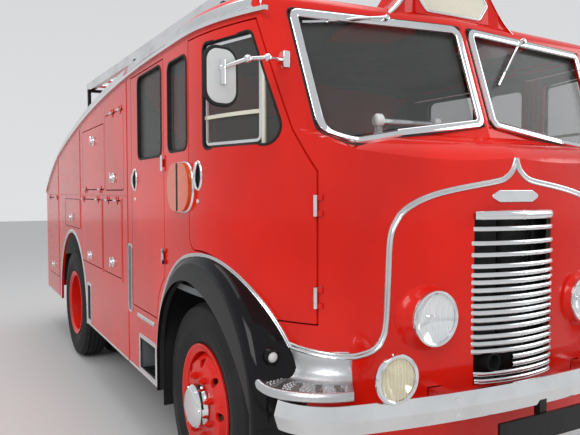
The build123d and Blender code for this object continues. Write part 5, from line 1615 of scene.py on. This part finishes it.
# the lip, rolled over from below: (inwards from the edge, z)
LIP = [(0.010, 0.729), (0.001, 0.735), (0, 0.748), (0.004, 0.760), (0.012, 0.7655), (0.021, 0.7645),
       (0.030, 0.7615)]
STUD_PITCH, STRIP_BANDS, STRIP_REACH, STRIP_SLANT = 0.017, (0.22, 0.45, 0.68, 0.88), (0.028, 0.115), 0.85
STRIP_SECTION = [(-0.013, -0.002), (-0.013, 0.001), (-0.010, 0.002), (0.010, 0.002), (0.013, 0.001),
                 (0.013, -0.002)]
STEP_SECTIONS, STEP_SIGHT_Z = 40, 0.800
WIDTH_LEAST, FLAT_LEAST = 0.060, 0.036
# the upstand sinks away where the body lies further out than RISE_X, over a width of RISE_EASE
RISE_X, RISE_EASE = 0.990, 0.030


class ENGINE_OT_steps(bpy.types.Operator):
    """Cast corner steps: dished tread, raised lip, upstand against the body"""
    bl_idname = "engine.steps"
    bl_label = "Corner steps"

    def execute(self, context):
        rings, rows = self.sections()
        steps = Build().rings(rings).pair()
        casting = steps.piece("corner_step_castings", "cast_aluminium", "body", "bright_aluminium", angle=50)
        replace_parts(casting, "corner_steps")
        self.studs(rows)
        self.strips(rows)
        return {"FINISHED"}

    def sections(self):
        """Sections of the casting from tip to inner end, and a row of (edge, spoke, flat, t) for each."""
        shell = tree_over("cab_shell")
        rings, rows = [], []
        start, end = STEP_TIP_Y - STEP_CENTRE[1], STEP_END_X - STEP_CENTRE[0]
        first = atan2(start, -sqrt(STEP_R ** 2 - start ** 2))
        last = atan2(-sqrt(STEP_R ** 2 - end ** 2), end)
        aim_first, aim_last = (at(*p) for p in STEP_AIM)
        for k in range(STEP_SECTIONS + 1):
            t = k / STEP_SECTIONS
            a = first + (last - first) * t
            edge = at(STEP_CENTRE[0] + STEP_R * cos(a), STEP_CENTRE[1] + STEP_R * sin(a), 0)
            spoke = (edge - aim_first.lerp(aim_last, t)).normalized()
            sight = edge + Vector((0, 0, STEP_SIGHT_Z))
            hit, _, _, _ = shell.ray_cast(sight, -spoke, 0.5)
            if hit is None:
                raise RuntimeError(f"no body behind the corner step at {t}")
            width = max(WIDTH_LEAST, (hit - sight).length + 0.004)
            flat = max(FLAT_LEAST, width - WIDTH_LEAST)
            rise = min(1, max(0, (RISE_X - abs(hit.x)) / RISE_EASE))
            rise = rise * rise * (3 - 2 * rise)
            lift = TIP_LIFT * max(0, 1 - t / 0.28) ** 2
            end_fall = sqrt(1 - (1 - min(1, (1 - t) / 0.06)) ** 2 * 0.6)
            top = UPSTAND_Z + (UPSTAND_RISE - lift) * rise * end_fall
            shape = [*LIP, (flat, TREAD_Z)]
            shape += [(flat + (width - 0.010 - flat) * q, TREAD_Z + (0.022 + 0.012 * rise) * q ** 2.2)
                      for q in (0.3, 0.6, 0.85, 1)]
            shape += [(width - 0.005, (UPSTAND_Z + top) / 2), (width - 0.0045, top),
                      (width - 0.002, top + 0.003), (width + 0.004, top + 0.003), (width + 0.004, LIP[0][1])]
            rings.append([edge - spoke * across + Vector((0, 0, z + lift)) for across, z in shape])
            rows.append((edge + Vector((0, 0, lift)), spoke, flat, t))
        return rings, rows

    def studs(self, rows):
        """Low studs over the tread, left out where the grip strips lie."""
        up, studs = Vector((0, 0, 1)), []
        for edge, spoke, flat, t in rows[3:-2:2]:
            for k in range(int((flat - 0.040) / STUD_PITCH) + 1):
                across = 0.034 + STUD_PITCH * k
                if abs((t * 5.2 + across * 4) % 1 - 0.5) > 0.16:
                    studs.append((edge - spoke * across + up * 0.763, up, spoke))
        studs += [(Vector((-p.x, p.y, p.z)), out, Vector((-along.x, along.y, 0))) for p, out, along in studs]
        set_out("corner_step_studs", studs, dome(0.0052, 0.0036, 10), "cast_aluminium", "body",
                unevenness=0.12)

    def strips(self, rows):
        """Slanting grip strips across the tread."""
        up, strips = Vector((0, 0, 1)), Build()
        near, far = STRIP_REACH
        for band in STRIP_BANDS:
            path = []
            for j in range(9):
                across = near + (far - near) * j / 8
                place = (band - (across - near) * STRIP_SLANT) * STEP_SECTIONS
                if across > rows[round(place)][2]:
                    break
                low, high, share = rows[int(place)], rows[int(place) + 1], place - int(place)
                path.append(low[0].lerp(high[0], share) - low[1].lerp(high[1], share) * across + up * 0.7638)
            if len(path) > 2:
                strips.sweep(path, [up] * len(path), STRIP_SECTION)
        strips.pair().piece("corner_step_strips", "grip_strip", "body", "black_plastic")


# rubber flap behind the front arch: x and width, y of its faces, z of its foot, middle and head
FLAP_X, FLAP_WIDTH, FLAP_FRONT, FLAP_BACK = 0.80, 0.30, 0.4145, 0.4205
FLAP_FOOT, FLAP_MIDDLE, FLAP_HEAD = 0.330, 0.600, 0.990


class ENGINE_OT_flaps(bpy.types.Operator):
    """Black rubber sheets behind the front wheels"""
    bl_idname = "engine.flaps"
    bl_label = "Wheel flaps"

    def execute(self, context):
        flaps = Build()
        for _, side in SIDES:
            rings = []
            for k in range(13):
                x, bow = side * (FLAP_X + FLAP_WIDTH * k / 12), 0.002 * sin(pi * k / 12)
                shape = ((FLAP_FRONT + bow, FLAP_FOOT), (FLAP_BACK + bow, FLAP_FOOT),
                         (FLAP_BACK + bow * 0.5, FLAP_MIDDLE), (FLAP_BACK, FLAP_HEAD),
                         (FLAP_FRONT, FLAP_HEAD), (FLAP_FRONT + bow * 0.5, FLAP_MIDDLE))
                rings.append([at(x, *q) for q in shape])
            flaps.rings(rings)
        flaps.piece("wheel_flaps", "window_rubber", "body", "tyre_rubber")
        return {"FINISHED"}


# the studio: half side of the floor, the lamps' places, sizes and shares of the key's power, and the camera
FLOOR_HALF, FLOOR_Z, LAMPS_AIM = 30, -0.001, (0, -1.0, 1.0)
STUDIO_LAMPS = (("key", (-5.5, -6.5, 6.0), 4.0, 1), ("top", (0, 0, 7.5), 6.0, 0.8),
                ("fill", (6.0, -5.0, 4.0), 4.0, 0.4))
CAMERA_AT, CAMERA_HEADING, CAMERA_DIP, CAMERA_ROLL = (-2.170, -2.879, 1.484), -29.36, 2.35, -0.11


class ENGINE_OT_stage(bpy.types.Operator):
    """Pale floor, soft studio light and the camera"""
    bl_idname = "engine.stage"
    bl_label = "Studio"

    def execute(self, context):
        settings = context.scene.engine_studio
        context.scene.view_settings.view_transform = "Standard"
        self.floor(context.scene, settings)
        self.world(context.scene, settings)
        for name, place, size, share in STUDIO_LAMPS:
            lamp = bpy.data.lights.new(name, "AREA")
            lamp.energy, lamp.size = settings.key * share, size
            holder = bpy.data.objects.new(name, lamp)
            holder.location = place
            holder.rotation_euler = (Vector(LAMPS_AIM) - Vector(place)).to_track_quat("-Z", "Y").to_euler()
            context.scene.collection.objects.link(holder)
        self.camera(context.scene, settings)
        return {"FINISHED"}

    def floor(self, scene, settings):
        """A wide pale floor, on the stage alone."""
        mesh = bpy.data.meshes.new("studio_floor")
        corners = [(a * FLOOR_HALF, b * FLOOR_HALF, FLOOR_Z) for a, b in ((-1, -1), (1, -1), (1, 1), (-1, 1))]
        mesh.from_pydata(corners, [], [(0, 1, 2, 3)])
        ground = bpy.data.objects.new("studio_floor", mesh)
        scene.collection.objects.link(ground)
        material, tree, shader, place = blank_material("studio floor")
        pale = tuple(settings.floor)
        slow = noise(tree, 0.6, 4, place)
        tree.links.new(mixed(tree, slow, pale, tuple(c * 0.97 for c in pale)), shader.inputs["Base Color"])
        shader.inputs["Roughness"].default_value = 0.7
        mesh.materials.append(material)

    def world(self, scene, settings):
        """Plain light all round, a little darker overhead."""
        world = bpy.data.worlds.new("studio")
        world.use_nodes = True
        tree = world.node_tree
        background = tree.nodes["Background"]
        direction = tree.nodes.new("ShaderNodeSeparateXYZ")
        tree.links.new(tree.nodes.new("ShaderNodeTexCoord").outputs["Generated"], direction.inputs[0])
        rise = ranged(tree, direction.outputs["Z"], 0.0, 0.55, 0, 1)
        colour = mixed(tree, rise, tuple(settings.horizon), tuple(settings.zenith))
        tree.links.new(colour, background.inputs["Color"])
        background.inputs["Strength"].default_value = settings.world
        scene.world = world

    def camera(self, scene, settings):
        """The photograph's view."""
        camera = bpy.data.cameras.new("camera")
        camera.lens, camera.sensor_width = settings.lens, 36
        eye = bpy.data.objects.new("camera", camera)
        heading = Matrix.Rotation(radians(CAMERA_HEADING), 4, "Z")
        dip = Matrix.Rotation(radians(90 - CAMERA_DIP), 4, "X")
        roll = Matrix.Rotation(radians(CAMERA_ROLL), 4, "Z")
        eye.matrix_world = Matrix.Translation(at(*CAMERA_AT)) @ (heading @ dip @ roll)
        scene.collection.objects.link(eye)
        scene.camera = eye


PIECES = (
    ENGINE_OT_stage, ENGINE_OT_finishes, ENGINE_OT_tyres, ENGINE_OT_wheels, ENGINE_OT_roof_edge,
    ENGINE_OT_mouldings, ENGINE_OT_windows, ENGINE_OT_handles, ENGINE_OT_lamps, ENGINE_OT_sign,
    ENGINE_OT_mirrors, ENGINE_OT_front, ENGINE_OT_grille, ENGINE_OT_seams, ENGINE_OT_recesses,
    ENGINE_OT_cab, ENGINE_OT_steps, ENGINE_OT_flaps,
)


class ENGINE_PT_panel(bpy.types.Panel):
    bl_label = "Fire engine"
    bl_idname = "ENGINE_PT_panel"
    bl_space_type = "VIEW_3D"
    bl_region_type = "UI"
    bl_category = "Fire engine"

    def draw(self, context):
        for name in ("engine_sizes", "engine_colours", "engine_studio"):
            group = getattr(context.scene, name)
            box = self.layout.box()
            for key in group.__annotations__:
                box.prop(group, key)
        for piece in PIECES:
            self.layout.operator(piece.bl_idname)


CLASSES = (EngineSizes, EngineColours, StudioSettings, *PIECES, ENGINE_PT_panel)


def register():
    for cls in CLASSES:
        bpy.utils.register_class(cls)
    bpy.types.Scene.engine_sizes = PointerProperty(type=EngineSizes)
    bpy.types.Scene.engine_colours = PointerProperty(type=EngineColours)
    bpy.types.Scene.engine_studio = PointerProperty(type=StudioSettings)


def unregister():
    for name in ("engine_sizes", "engine_colours", "engine_studio"):
        delattr(bpy.types.Scene, name)
    for cls in reversed(CLASSES):
        bpy.utils.unregister_class(cls)


def main():
    register()
    for piece in PIECES:
        group, name = piece.bl_idname.split(".")
        getattr(getattr(bpy.ops, group), name)()


if __name__ == "__main__":
    main()
